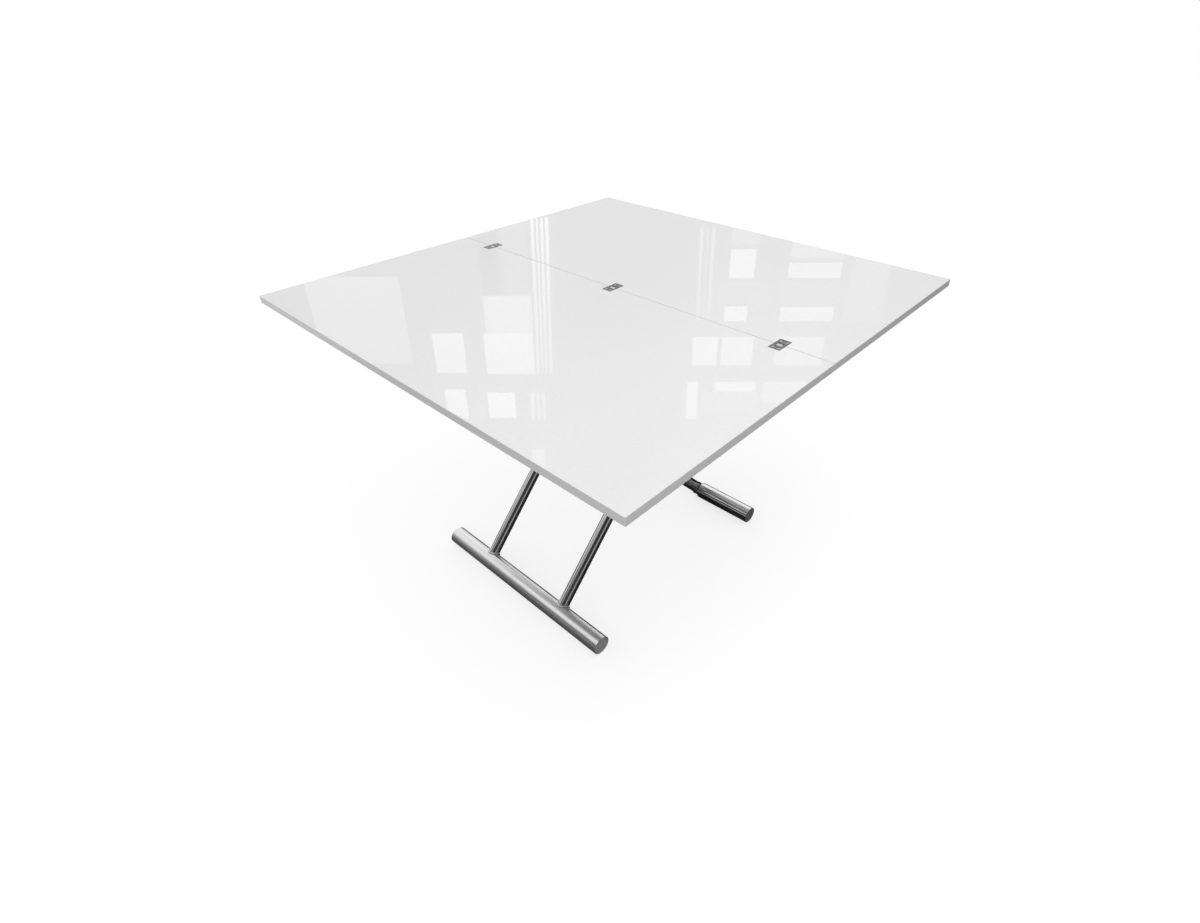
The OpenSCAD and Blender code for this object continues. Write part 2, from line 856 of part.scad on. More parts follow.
module gas_cylinder() {
    color(black) on_gas_line() translate([0, 0, cyl_near]) difference() {
        cylinder(h = cylinder_length, d = gas_dia);
        translate([0, 0, guide_long]) cylinder(h = cylinder_length - guide_long - 8, r = gas_dia / 2 - 1.5);
        translate([0, 0, -1]) cylinder(h = guide_long + 2, r = rod_dia / 2 + run_fit);
    }
}

// Eye at the end of the cylinder, slotted along the gas spring
module gas_eye() {
    eye_half = 9;
    slot_r = push_bar_dia / 2 + 2 * run_fit;
    color(dark_steel) on_gas_line() difference() {
        union() {
            translate([0, 0, gas_full]) x_tube(-eye_half, eye_half, eye_r + eye_play);
            translate([0, 0, cyl_far]) cylinder(h = eye_r, r = 8);
        }
        for (s = [-1, 1]) translate([0, 0, gas_full + s * eye_play])
            x_tube(-eye_half - 1, eye_half + 1, slot_r);
        translate([-eye_half - 1, -slot_r, gas_full - eye_play])
            cube([2 * eye_half + 2, 2 * slot_r, 2 * eye_play]);
        translate([-20, -20, cyl_far - 20]) cube([40, 40, 20]);
    }
}

// Shaft that the release head turns on, with the finger that presses the button
module release_shaft() {
    color(steel) {
        at(gas_y, pivot_z) x_tube(-clip_x - clip_thick - 2, lever_end, lever_dia / 2);
        on_gas_line() rotate([finger_turn, 0, 0]) {
            translate([-cavity_half + 0.5, -finger_r, 0])
                cube([2 * cavity_half - 1, 2 * finger_r, finger_reach]);
            translate([0, 0, finger_reach]) x_tube(-cavity_half + 0.5, cavity_half - 0.5, finger_r);
        }
    }
}

module lever_clips() {
    color(zinc) pair() at(gas_y, pivot_z) x_tube(clip_x, clip_x + clip_thick, collar_r, lever_dia / 2);
}

// Lever plate in its own line: Y runs from the shaft towards the grip
module on_lever_line() {
    at(gas_y, pivot_z) rotate([lever_droop, 0, 0]) mirror([0, 1, 0]) children();
}

module release_lever() {
    color(black) difference() {
        union() {
            at(gas_y, pivot_z) x_tube(lever_in, lever_in + lever_width, hub_r);
            on_lever_line() translate([lever_in, 0, -lever_plate / 2])
                cube([lever_width, lever_reach, lever_plate]);
        }
        at(gas_y, pivot_z) x_tube(lever_in - 1, lever_in + lever_width + 1, lever_dia / 2);
    }
}

module lever_grip() {
    grip_long = 50;
    grip_thick = 6;
    skin = 3;
    color(black) on_lever_line() difference() {
        translate([lever_in - skin, lever_reach + skin - grip_long, -grip_thick])
            cube([lever_width + 2 * skin, grip_long, 2 * grip_thick]);
        translate([lever_in, lever_reach - grip_long, -lever_plate / 2])
            cube([lever_width, grip_long, lever_plate]);
    }
}

fixed_leaf();
folding_leaf();
hinge_plates_fixed();
hinge_plates_folding();
hinge_links();
hinge_pins_fixed();
hinge_pins_folding();
hinge_screws_fixed();
hinge_screws_folding();
turn_plate();
turn_plate_screws();
slide_disc();
swivel_bolt();
swivel_nut();
rail_left();
rail_right();
front_bar();
rear_bar();
base_plate();
base_bolts();
base_nuts();
stop_pin();
glide_pads();
pivot_bushes();
gas_lugs();
foot_tube();
foot_caps();
outer_leg_left();
outer_leg_right();
outer_top_tube();
crossing_sleeves();
crossing_spacers();
crossing_bolts();
crossing_nuts();
rail_wheel_left();
rail_wheel_right();
wheel_clips();
inner_arm_left();
inner_arm_right();
inner_top_shaft();
shaft_clips();
push_bar();
roller_axle();
axle_washers();
axle_clips();
roller_left();
roller_right();
roller_bushes_left();
roller_bushes_right();
roller_cap_left();
roller_cap_right();
release_head();
gas_rod();
release_button();
gas_cylinder();
gas_eye();
release_shaft();
lever_clips();
release_lever();
lever_grip();
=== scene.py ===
# Convertible coffee-dining table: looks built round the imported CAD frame, in metres
import json
import math

import bmesh
import bpy
from mathutils import Matrix, Vector


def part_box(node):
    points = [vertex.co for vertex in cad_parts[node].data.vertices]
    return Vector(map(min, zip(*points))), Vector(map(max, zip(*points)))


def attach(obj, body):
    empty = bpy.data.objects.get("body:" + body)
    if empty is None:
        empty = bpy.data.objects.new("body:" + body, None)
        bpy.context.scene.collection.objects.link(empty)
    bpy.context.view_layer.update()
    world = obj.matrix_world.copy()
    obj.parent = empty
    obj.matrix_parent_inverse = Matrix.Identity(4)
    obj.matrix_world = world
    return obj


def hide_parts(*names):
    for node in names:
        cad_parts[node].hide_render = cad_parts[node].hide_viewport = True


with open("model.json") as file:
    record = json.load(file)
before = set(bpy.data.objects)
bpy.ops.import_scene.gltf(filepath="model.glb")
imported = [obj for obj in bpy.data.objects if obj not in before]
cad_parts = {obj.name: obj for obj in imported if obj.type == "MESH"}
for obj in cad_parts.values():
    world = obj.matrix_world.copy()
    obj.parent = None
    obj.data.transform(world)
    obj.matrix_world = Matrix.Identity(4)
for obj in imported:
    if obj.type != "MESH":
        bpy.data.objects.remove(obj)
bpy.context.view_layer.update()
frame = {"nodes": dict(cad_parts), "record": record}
print("frame loaded:", len(frame["nodes"]), "nodes")

mm = 0.001

# Camera at the photograph's viewpoint, heading and pitch in radians
cameraView = {
    "place": (1.0554, -1.0732, 1.3528),
    "heading": 2.3029,
    "pitchDown": 0.6303,
    "roll": -0.0041,
    "lens": 19.052,
    "sensor": 36.0,
    "shift": (-0.0343, -0.00485),
}


def makeCamera(view):
    heading, pitch, roll = view["heading"], view["pitchDown"], view["roll"]
    forward = Vector((
        math.cos(heading) * math.cos(pitch), math.sin(heading) * math.cos(pitch), -math.sin(pitch),
    ))
    right = Vector((math.sin(heading), -math.cos(heading), 0))
    up = right.cross(forward)
    rolledRight = right * math.cos(roll) + up * math.sin(roll)
    rolledUp = up * math.cos(roll) - right * math.sin(roll)
    data = bpy.data.cameras.new("photoCamera")
    data.lens, data.sensor_width, data.sensor_fit = view["lens"], view["sensor"], "HORIZONTAL"
    data.shift_x, data.shift_y = view["shift"]
    data.clip_start, data.clip_end = 0.02, 60
    camera = bpy.data.objects.new("photoCamera", data)
    bpy.context.scene.collection.objects.link(camera)
    camera.rotation_mode = "QUATERNION"
    camera.location = view["place"]
    camera.rotation_quaternion = Matrix((rolledRight, rolledUp, -forward)).transposed().to_quaternion()
    bpy.context.scene.camera = camera


makeCamera(cameraView)
print("camera ready")


# Shader tools shared by the finishes and the studio
def mixShaders(tree, factor, first, second):
    shader = tree.nodes.new("ShaderNodeMixShader")
    tree.links.new(factor, shader.inputs[0])
    tree.links.new(first, shader.inputs[1])
    tree.links.new(second, shader.inputs[2])
    return shader.outputs["Shader"]


def rise(tree, value, start, end, low, high, smooth=True):
    node = tree.nodes.new("ShaderNodeMapRange")
    node.interpolation_type = "SMOOTHSTEP" if smooth else "LINEAR"
    tree.links.new(value, node.inputs["Value"])
    for socket, number in (("From Min", start), ("From Max", end), ("To Min", low), ("To Max", high)):
        node.inputs[socket].default_value = number
    return node.outputs["Result"]


def combine(tree, operation, first, second):
    node = tree.nodes.new("ShaderNodeMath")
    node.operation = operation
    tree.links.new(first, node.inputs[0])
    if isinstance(second, float):
        node.inputs[1].default_value = second
    else:
        tree.links.new(second, node.inputs[1])
    return node.outputs["Value"]


# Materials: every finish is noise on Object coordinates, so nothing needs a UV map
noiseSpan = (0.3, 0.7)  # most of a noise's values lie between these


def makeFinish(name, look):
    material = bpy.data.materials.new(name)
    material.use_nodes = True
    tree = material.node_tree
    nodes, links = tree.nodes, tree.links
    nodes.clear()
    output = nodes.new("ShaderNodeOutputMaterial")
    shader = nodes.new("ShaderNodeBsdfPrincipled")
    links.new(shader.outputs["BSDF"], output.inputs["Surface"])
    shader.inputs["Metallic"].default_value = look.get("metallic", 0.0)
    shader.inputs["IOR"].default_value = 1.5
    shader.inputs["Coat Weight"].default_value = look.get("coat", 0.0)
    shader.inputs["Coat Roughness"].default_value = look.get("coatRoughness", 0.03)
    place = nodes.new("ShaderNodeTexCoord")

    def noise(stretch, turn, detail, distortion=0.0):
        # a TEXTURE mapping turns first and then stretches, so streaks can run along a slanted leg
        mapping = nodes.new("ShaderNodeMapping")
        mapping.vector_type = "TEXTURE"
        mapping.inputs["Rotation"].default_value = (turn, 0, 0)
        mapping.inputs["Scale"].default_value = [1 / s for s in stretch]
        links.new(place.outputs["Object"], mapping.inputs["Vector"])
        texture = nodes.new("ShaderNodeTexNoise")
        texture.inputs["Scale"].default_value = 1.0
        texture.inputs["Detail"].default_value = detail
        texture.inputs["Distortion"].default_value = distortion
        links.new(mapping.outputs["Vector"], texture.inputs["Vector"])
        return texture.outputs["Fac"]

    grain = noise(look["grain"], look.get("turn", 0.0), look.get("detail", 3.0))
    cloud = noise(look["cloud"], 0.0, 2.0, 0.4)
    # colour: the grain moves between two tones, and the slow cloud tints them
    tones = nodes.new("ShaderNodeValToRGB")
    darkEnd, lightEnd = tones.color_ramp.elements
    darkEnd.position, lightEnd.position = noiseSpan
    darkEnd.color, lightEnd.color = (*look["dark"], 1), (*look["light"], 1)
    links.new(grain, tones.inputs["Fac"])
    tinted = nodes.new("ShaderNodeMix")
    tinted.data_type, tinted.blend_type = "RGBA", "MULTIPLY"
    tinted.inputs["Factor"].default_value = 1.0
    links.new(tones.outputs["Color"], tinted.inputs["A"])
    links.new(rise(tree, cloud, *noiseSpan, *look["clouding"], False), tinted.inputs["B"])
    links.new(tinted.outputs["Result"], shader.inputs["Base Color"])
    # roughness follows the grain, or the slow cloud on lacquer, where handled spots look a little duller
    sheen = cloud if look.get("sheenFromCloud") else grain
    links.new(rise(tree, sheen, *noiseSpan, *look["roughness"], False), shader.inputs["Roughness"])
    bump = nodes.new("ShaderNodeBump")
    bump.inputs["Strength"].default_value = look["bump"]
    bump.inputs["Distance"].default_value = look["bumpDepth"]
    links.new(grain, bump.inputs["Height"])
    links.new(bump.outputs["Normal"], shader.inputs["Normal"])
    if look.get("coat"):
        links.new(bump.outputs["Normal"], shader.inputs["Coat Normal"])
    return material


def grey(level):
    return (level, level, level)


legSlope = math.atan2(700, 660)  # legs and arms cross at this slope
finishLooks = {
    # lacquered board: even white, a long gloss and a faint orange peel
    "whiteLacquer": {
        "dark": grey(0.80), "light": grey(0.82), "grain": (150, 150, 150), "cloud": (2.2, 2.2, 2.2),
        "clouding": (0.985, 1.0), "roughness": (0.30, 0.36), "bump": 0.05, "bumpDepth": 0.02 * mm,
        "coat": 1.0, "coatRoughness": 0.015, "sheenFromCloud": True,
    },
    # tubes polished with a belt: long streaks along the tube
    "footSteel": {
        "metallic": 1.0, "dark": grey(0.72), "light": grey(0.84), "grain": (9, 900, 900), "detail": 4.0,
        "cloud": (14, 14, 14), "clouding": (0.93, 1.0), "roughness": (0.24, 0.38), "bump": 0.16,
        "bumpDepth": 0.02 * mm,
    },
    # painted shade: the legs are the foot tube's steel made darker, standing for the shade and dark
    # surroundings that they mirror
    "legSteel": {
        "metallic": 1.0, "dark": grey(0.56), "light": grey(0.68), "grain": (900, 9, 900),
        "turn": legSlope, "detail": 4.0, "cloud": (14, 14, 14), "clouding": (0.93, 1.0),
        "roughness": (0.15, 0.24), "bump": 0.12, "bumpDepth": 0.02 * mm,
    },
    # painted shade: the arms' steel is darker still, standing for the dark side that their faces turn to
    "armSteel": {
        "metallic": 1.0, "dark": grey(0.40), "light": grey(0.48), "grain": (900, 9, 900),
        "turn": -legSlope, "detail": 4.0, "cloud": (14, 14, 14), "clouding": (0.92, 1.0),
        "roughness": (0.18, 0.28), "bump": 0.12, "bumpDepth": 0.02 * mm,
    },
    "rollerSteel": {
        "metallic": 1.0, "dark": grey(0.70), "light": grey(0.80), "grain": (6, 420, 420), "detail": 2.0,
        "cloud": (16, 16, 16), "clouding": (0.95, 1.0), "roughness": (0.09, 0.15), "bump": 0.03,
        "bumpDepth": 0.02 * mm,
    },
    "capSteel": {
        "metallic": 0.75, "dark": grey(0.68), "light": grey(0.76), "grain": (500, 500, 500),
        "detail": 3.0, "cloud": (60, 60, 60), "clouding": (0.92, 1.0), "roughness": (0.42, 0.52),
        "bump": 0.10, "bumpDepth": 0.02 * mm,
    },
    # painted shade: a darker copy of capSteel on the same pressed cap, for the roller caps that face the
    # dark side
    "rollerCapSteelPaintedShade": {
        "metallic": 0.75, "dark": grey(0.30), "light": grey(0.38), "grain": (500, 500, 500),
        "detail": 3.0, "cloud": (60, 60, 60), "clouding": (0.92, 1.0), "roughness": (0.42, 0.52),
        "bump": 0.10, "bumpDepth": 0.02 * mm,
    },
    "weldSteel": {
        "metallic": 1.0, "dark": grey(0.74), "light": grey(0.88), "grain": (420, 420, 420),
        "detail": 3.0, "cloud": (80, 80, 80), "clouding": (0.9, 1.0), "roughness": (0.22, 0.40),
        "bump": 0.25, "bumpDepth": 0.08 * mm,
    },
    "zincSteel": {
        "metallic": 1.0, "dark": grey(0.55), "light": grey(0.68), "grain": (260, 260, 260),
        "detail": 4.0, "cloud": (70, 70, 70), "clouding": (0.9, 1.0), "roughness": (0.22, 0.38),
        "bump": 0.10, "bumpDepth": 0.03 * mm,
    },
    # painted shade: the hinge steel is nearly black, standing for the dark surroundings that the polished
    # plates mirror
    "hingeSteel": {
        "metallic": 1.0, "dark": grey(0.10), "light": grey(0.18), "grain": (260, 260, 260),
        "detail": 4.0, "cloud": (70, 70, 70), "clouding": (0.88, 1.0), "roughness": (0.13, 0.20),
        "bump": 0.14, "bumpDepth": 0.03 * mm,
    },
    "rodChrome": {
        "metallic": 1.0, "dark": grey(0.66), "light": grey(0.74), "grain": (30, 700, 700),
        "detail": 3.0, "cloud": (40, 40, 40), "clouding": (0.95, 1.0), "roughness": (0.08, 0.16),
        "bump": 0.05, "bumpDepth": 0.01 * mm,
    },
    # stove-dried grey paint on the pressed frame
    "framePaint": {
        "dark": grey(0.17), "light": grey(0.20), "grain": (420, 420, 420), "cloud": (12, 12, 12),
        "clouding": (0.93, 1.0), "roughness": (0.38, 0.50), "bump": 0.22, "bumpDepth": 0.06 * mm,
    },
    "nylon": {
        "dark": (0.62, 0.61, 0.58), "light": (0.68, 0.67, 0.64), "grain": (300, 300, 300),
        "cloud": (60, 60, 60), "clouding": (0.95, 1.0), "roughness": (0.42, 0.52), "bump": 0.10,
        "bumpDepth": 0.05 * mm,
    },
    "blackPlastic": {
        "dark": grey(0.018), "light": grey(0.026), "grain": (700, 700, 700), "cloud": (50, 50, 50),
        "clouding": (0.85, 1.0), "roughness": (0.45, 0.58), "bump": 0.30, "bumpDepth": 0.08 * mm,
    },
    "blackPaint": {
        "dark": grey(0.016), "light": grey(0.024), "grain": (350, 350, 350), "cloud": (30, 30, 30),
        "clouding": (0.85, 1.0), "roughness": (0.26, 0.36), "bump": 0.14, "bumpDepth": 0.05 * mm,
    },
}
finishes = {name: makeFinish(name, look) for name, look in finishLooks.items()}
print("finishes ready:", len(finishes))


# Small tools shared by the pieces
samePoint, noLength = 1e-6, 1e-7  # points this near are one, and edges this short are none
flatAngle = 0.02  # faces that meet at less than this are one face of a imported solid
nearLine = 0.1 * mm  # how near a point has to be to count as lying on a line
# how many steps a full turn has
turnSteps = {
    "tube": 96, "leg": 64, "cylinder": 64, "barrel": 36, "pin": 24, "screw": 40, "hole": 28,
    "legWeld": 170, "armWeld": 120, "seam": 12,
}


def shadeSmooth(shape, smoothAngle):
    # a large face stays flat beside a narrow bevel, so that what it mirrors stays straight
    nearlyFlat, muchLarger = 0.01, 12
    for face in shape.faces:
        face.smooth = True
    for edge in shape.edges:
        if len(edge.link_faces) == 2:
            angle = edge.calc_face_angle(0)
            small, large = sorted(f.calc_area() for f in edge.link_faces)
            alike = angle < nearlyFlat or large < muchLarger * small
            edge.smooth = angle < math.radians(smoothAngle) and alike


def addPiece(name, shape, body, finish, hides=(), smoothAngle=32):
    bmesh.ops.recalc_face_normals(shape, faces=shape.faces)
    shadeSmooth(shape, smoothAngle)
    mesh = bpy.data.meshes.new(name)
    shape.to_mesh(mesh)
    shape.free()
    mesh.materials.append(finishes[finish])
    piece = bpy.data.objects.new(name, mesh)
    bpy.context.scene.collection.objects.link(piece)
    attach(piece, body)
    if hides:
        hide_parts(*hides)
    return piece


def turnProfile(shape, profile, centre, axis, steps):
    # profile is a closed loop of (radius, distance along the axis), turned once round the axis
    centre, axis = Vector(centre), Vector(axis).normalized()
    side = axis.orthogonal().normalized()
    corners = [shape.verts.new(centre + side * radius + axis * along) for radius, along in profile]
    loop = list(zip(profile, corners))
    ring = [
        shape.edges.new((first, second))
        for ((paintedShadeNearRadius, _), first), ((farRadius, _), second) in zip(loop, loop[1:] + loop[:1])
        if paintedShadeNearRadius > 0 or farRadius > 0  # an edge that lies on the axis would stay loose
    ]
    bmesh.ops.spin(
        shape, geom=corners + ring, cent=centre, axis=axis, dvec=(0, 0, 0), angle=2 * math.pi, steps=steps,
        use_merge=True, use_duplicate=False,
    )
    bmesh.ops.remove_doubles(shape, verts=shape.verts, dist=samePoint)
    bmesh.ops.dissolve_degenerate(shape, dist=noLength, edges=shape.edges)


def softenEdges(shape, width, segments=3, above=32, where=None, clamp=True):
    bmesh.ops.recalc_face_normals(shape, faces=shape.faces)
    limit = math.radians(above)
    folded = [e for e in shape.edges if len(e.link_faces) == 2 and e.calc_face_angle(0) > limit]
    chosen = [e for e in folded if where is None or where(e)]
    bmesh.ops.bevel(
        shape, geom=chosen, offset=width, offset_type="OFFSET", segments=segments, profile=0.5,
        affect="EDGES", material=-1, clamp_overlap=clamp,
    )


def block(shape, low, high):
    made = bmesh.ops.create_cube(shape, size=1)["verts"]
    low, high = Vector(low), Vector(high)
    bmesh.ops.scale(shape, vec=high - low, verts=made)
    bmesh.ops.translate(shape, vec=(low + high) / 2, verts=made)
    return made


def midpoint(edge):
    return (edge.verts[0].co + edge.verts[1].co) / 2


def cutPlane(shape, point, normal, near=None):
    faces = [f for f in shape.faces if near is None or near(f)]
    edges = {e for f in faces for e in f.edges}
    verts = {v for f in faces for v in f.verts}
    bmesh.ops.bisect_plane(
        shape, geom=[*faces, *edges, *verts], dist=noLength, plane_co=point, plane_no=normal,
    )


def joinShape(shape, other):
    mesh = bpy.data.meshes.new("joined")
    bmesh.ops.recalc_face_normals(other, faces=other.faces)
    other.to_mesh(mesh)
    other.free()
    shape.from_mesh(mesh)
    bpy.data.meshes.remove(mesh)


def tubeAlongX(low, high, radius, bore, centre, rounding, kind="tube", segments=3):
    shape = bmesh.new()
    turnProfile(
        shape, [(radius, low), (radius, high), (bore, high), (bore, low)], (0, *centre), (1, 0, 0),
        turnSteps[kind],
    )
    softenEdges(shape, rounding, segments, above=60)
    return shape


def mergedCopy(node):
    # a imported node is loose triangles, so its copy is merged into whole faces
    shape = bmesh.new()
    shape.from_mesh(frame["nodes"][node].data)
    bmesh.ops.remove_doubles(shape, verts=shape.verts, dist=samePoint)
    bmesh.ops.dissolve_limit(shape, angle_limit=flatAngle, verts=shape.verts, edges=shape.edges)
    return shape


# Table top: two lacquered leaves with rounded arrises and three hinge pockets each
leaf = {
    "half": 600 * mm, "fold": 0.7 * mm, "under": 750.05 * mm, "top": 768 * mm, "arris": 0.9 * mm,
}
hinge = {
    "centres": (-475 * mm, 0, 475 * mm), "half": 14 * mm, "reach": 25 * mm, "plateStart": 5.2 * mm,
    "plate": 2 * mm, "cornerRound": 1.6 * mm, "plateEase": 0.25 * mm, "notch": 6.4 * mm,
    "armLap": 0.4 * mm, "armDown": 0.1 * mm, "armEase": 0.15 * mm,
    "pinY": 2.6 * mm, "pinZ": 765.5 * mm, "pinRadius": 0.98 * mm,
    "knuckle": 2.4 * mm, "knuckleBore": 1 * mm, "knuckleEase": 0.2 * mm,
    "linkHalf": 7 * mm, "linkBore": 1.1 * mm, "webHalf": 1.2 * mm,
    "screwX": 7 * mm, "screwY": 16.1 * mm, "screwHole": 3.7 * mm,
    # the pocket in the board: its floor under the knuckles, the room round the plate, the band it is cut in
    "deep": 762.7 * mm, "room": 0.1 * mm, "band": 30 * mm,
}
screw = {
    "head": 3 * mm, "shank": 1.6 * mm, "long": 13 * mm, "slotHalf": 2 * mm, "slotWide": 0.35 * mm,
    "slotDeep": 1 * mm, "ease": 0.12 * mm,
    "tip": 0.3, "tipFrom": 0.8,  # the tip's share of the shank's radius, and where along it the tip starts
}


def leafBoard(side):
    shape = bmesh.new()
    near, far = sorted((side * leaf["fold"], side * leaf["half"]))
    block(shape, (-leaf["half"], near, leaf["under"]), (leaf["half"], far, leaf["top"]))
    softenEdges(shape, leaf["arris"], 4, above=60)
    # the pockets: pairs of cuts a hair apart, then what lies between them goes down
    hair = 0.04 * mm
    pocketSide = hinge["half"] + hinge["room"]
    pocketEnd = hinge["reach"] + hinge["room"]
    cutPlane(shape, (0, side * hinge["band"], 0), (0, 1, 0))
    nearFold = lambda f: all(abs(v.co.y) < hinge["band"] + hair / 4 for v in f.verts)
    for centre in hinge["centres"]:
        for edge in (-1, 1):
            for slip in (0, hair):
                cutPlane(shape, (centre + edge * (pocketSide - slip), 0, 0), (1, 0, 0), nearFold)
        besideHinge = lambda f: all(abs(v.co.x - centre) < pocketSide + hair / 4 for v in f.verts)
        inside = lambda f: nearFold(f) and besideHinge(f)
        for line in (pocketEnd, pocketEnd - hair, hinge["notch"] + hair, hinge["notch"]):
            cutPlane(shape, (0, side * line, 0), (0, 1, 0), inside)
        for v in shape.verts:
            beyond = abs(v.co.x - centre) > pocketSide - hair / 2 or abs(v.co.y) > pocketEnd - hair / 2
            if beyond or v.co.z < hinge["deep"]:
                continue
            underKnuckles = abs(v.co.y) < hinge["notch"] + hair / 2
            floorHere = hinge["deep"] if underKnuckles else leaf["top"] - hinge["plate"]
            v.co.z = min(v.co.z, floorHere)
    return shape


for side, word, body in ((-1, "fixed", "fixed_top"), (1, "folding", "folding_top")):
    name, node = f"leaf{word.capitalize()}Board", word + "_leaf"
    addPiece(name, leafBoard(side), body, "whiteLacquer", (node,), 25)
print("table top ready")


# Fold hinges: plates with outer knuckles, links with two barrels, pins and cross-slot screws
def boredPlate(shape, outline, holes, radius, top, thick):
    # the outline with its holes is filled flat, and then given its thickness
    corners = [shape.verts.new((x, y, top)) for x, y in outline]
    edges = [shape.edges.new(pair) for pair in zip(corners, corners[1:] + corners[:1])]
    for x, y in holes:
        place = Matrix.Translation((x, y, top))
        ring = bmesh.ops.create_circle(shape, segments=turnSteps["hole"], radius=radius, matrix=place)
        edges += {e for v in ring["verts"] for e in v.link_edges}
    filled = bmesh.ops.triangle_fill(shape, use_beauty=True, edges=edges, normal=(0, 0, 1))["geom"]
    faces = [f for f in filled if isinstance(f, bmesh.types.BMFace)]
    grown = bmesh.ops.extrude_face_region(shape, geom=faces)["geom"]
    lower = [v for v in grown if isinstance(v, bmesh.types.BMVert)]
    bmesh.ops.translate(shape, vec=(0, 0, -thick), verts=lower)


def hingeBarrel(low, high, side, bore):
    pinLine = (side * hinge["pinY"], hinge["pinZ"])
    return tubeAlongX(low, high, hinge["knuckle"], bore, pinLine, hinge["knuckleEase"], "barrel", 2)


def hingePlates(side):
    shape = bmesh.new()
    notchHalf = hinge["linkHalf"] + hinge["room"]
    for centre in hinge["centres"]:
        # round the plate, and back through the notch that leaves room for the link
        corners = (
            (-hinge["half"], hinge["plateStart"]), (-hinge["half"], hinge["reach"]),
            (hinge["half"], hinge["reach"]), (hinge["half"], hinge["plateStart"]),
            (notchHalf, hinge["plateStart"]), (notchHalf, hinge["notch"]),
            (-notchHalf, hinge["notch"]), (-notchHalf, hinge["plateStart"]),
        )
        outline = [(centre + x, side * y) for x, y in corners]
        holes = [(centre + s * hinge["screwX"], side * hinge["screwY"]) for s in (-1, 1)]
        boredPlate(shape, outline, holes, hinge["screwHole"], leaf["top"], hinge["plate"])
    upright = lambda e: abs(e.verts[0].co.z - e.verts[1].co.z) > hinge["plate"] / 2
    atCorner = lambda e: upright(e) and abs(midpoint(e).y) > hinge["reach"] - nearLine
    softenEdges(shape, hinge["cornerRound"], 4, where=atCorner)
    softenEdges(shape, hinge["plateEase"], 2, above=60)
    for centre in hinge["centres"]:
        for edge in (-1, 1):
            inner, outer = sorted((centre + edge * notchHalf, centre + edge * hinge["half"]))
            near, far = sorted((side * hinge["pinY"], side * (hinge["plateStart"] + hinge["armLap"])))
            armLow, armHigh = leaf["top"] - hinge["plate"], leaf["top"] - hinge["armDown"]
            arm = bmesh.new()
            block(arm, (inner, near, armLow), (outer, far, armHigh))
            softenEdges(arm, hinge["armEase"], 2, above=60)
            joinShape(shape, arm)
            joinShape(shape, hingeBarrel(inner, outer, side, hinge["knuckleBore"]))
    return shape


def hingeLinks():
    shape = bmesh.new()
    for centre in hinge["centres"]:
        low, high = centre - hinge["linkHalf"], centre + hinge["linkHalf"]
        for side in (-1, 1):
            joinShape(shape, hingeBarrel(low, high, side, hinge["linkBore"]))
        web, half = bmesh.new(), hinge["webHalf"]
        block(web, (low, -half, hinge["pinZ"] - half), (high, half, hinge["pinZ"] + half))
        softenEdges(web, hinge["armEase"], 2, above=60)
        joinShape(shape, web)
    return shape


def hingePins(side):
    shape = bmesh.new()
    for centre in hinge["centres"]:
        pin, radius = bmesh.new(), hinge["pinRadius"]
        low, high = centre - hinge["half"], centre + hinge["half"]
        turnProfile(
            pin, [(0, low), (radius, low), (radius, high), (0, high)],
            (0, side * hinge["pinY"], hinge["pinZ"]), (1, 0, 0), turnSteps["pin"],
        )
        softenEdges(pin, hinge["plateEase"], 2, above=60)
        joinShape(shape, pin)
    return shape


def screwHead(centre):
    # countersunk screw: the head is turned, and a cross is sunk into its top between paired cuts
    head, shank, long = screw["head"], screw["shank"], screw["long"]
    tip, tipFrom = shank * screw["tip"], long * screw["tipFrom"]
    slotHalf, slotWide = screw["slotHalf"], screw["slotWide"]
    hair, level = 0.03 * mm, 0.01 * mm
    shape = bmesh.new()
    turnProfile(
        shape,
        [(0, -long), (tip, -long), (shank, -tipFrom), (shank, shank - head), (head, 0), (0, 0)],
        (0, 0, 0), (0, 0, 1), turnSteps["screw"],
    )
    onTop = lambda f: all(v.co.z > -level for v in f.verts)
    for offset in (slotWide, slotWide - hair, slotHalf, slotHalf - hair):
        for sign in (-1, 1):
            cutPlane(shape, (sign * offset, 0, 0), (1, 0, 0), onTop)
            cutPlane(shape, (0, sign * offset, 0), (0, 1, 0), onTop)
    for v in shape.verts:
        across, along = sorted((abs(v.co.x), abs(v.co.y)))
        if v.co.z > -level and across < slotWide - hair / 2 and along < slotHalf - hair / 2:
            v.co.z = -screw["slotDeep"]
    atRim = lambda e: abs(midpoint(e).xy.length - head) < nearLine
    softenEdges(shape, screw["ease"], 2, above=40, where=atRim)
    bmesh.ops.translate(shape, vec=centre, verts=shape.verts)
    return shape


def hingeScrews(side):
    shape = bmesh.new()
    for centre in hinge["centres"]:
        for edge in (-1, 1):
            place = (centre + edge * hinge["screwX"], side * hinge["screwY"], leaf["top"])
            joinShape(shape, screwHead(place))
    return shape


for side, word, body in ((-1, "fixed", "fixed_top"), (1, "folding", "folding_top")):
    for part, shape, finish in (
        ("Plates", hingePlates(side), "hingeSteel"),
        ("Pins", hingePins(side), "zincSteel"),
        ("Screws", hingeScrews(side), "zincSteel"),
    ):
        name, node = "hinge" + part + word.capitalize(), f"hinge_{part.lower()}_{word}"
        addPiece(name, shape, body, finish, (node,))
addPiece("hingeLinksMade", hingeLinks(), "fold_links", "zincSteel", ("hinge_links",))
print("hinges ready")


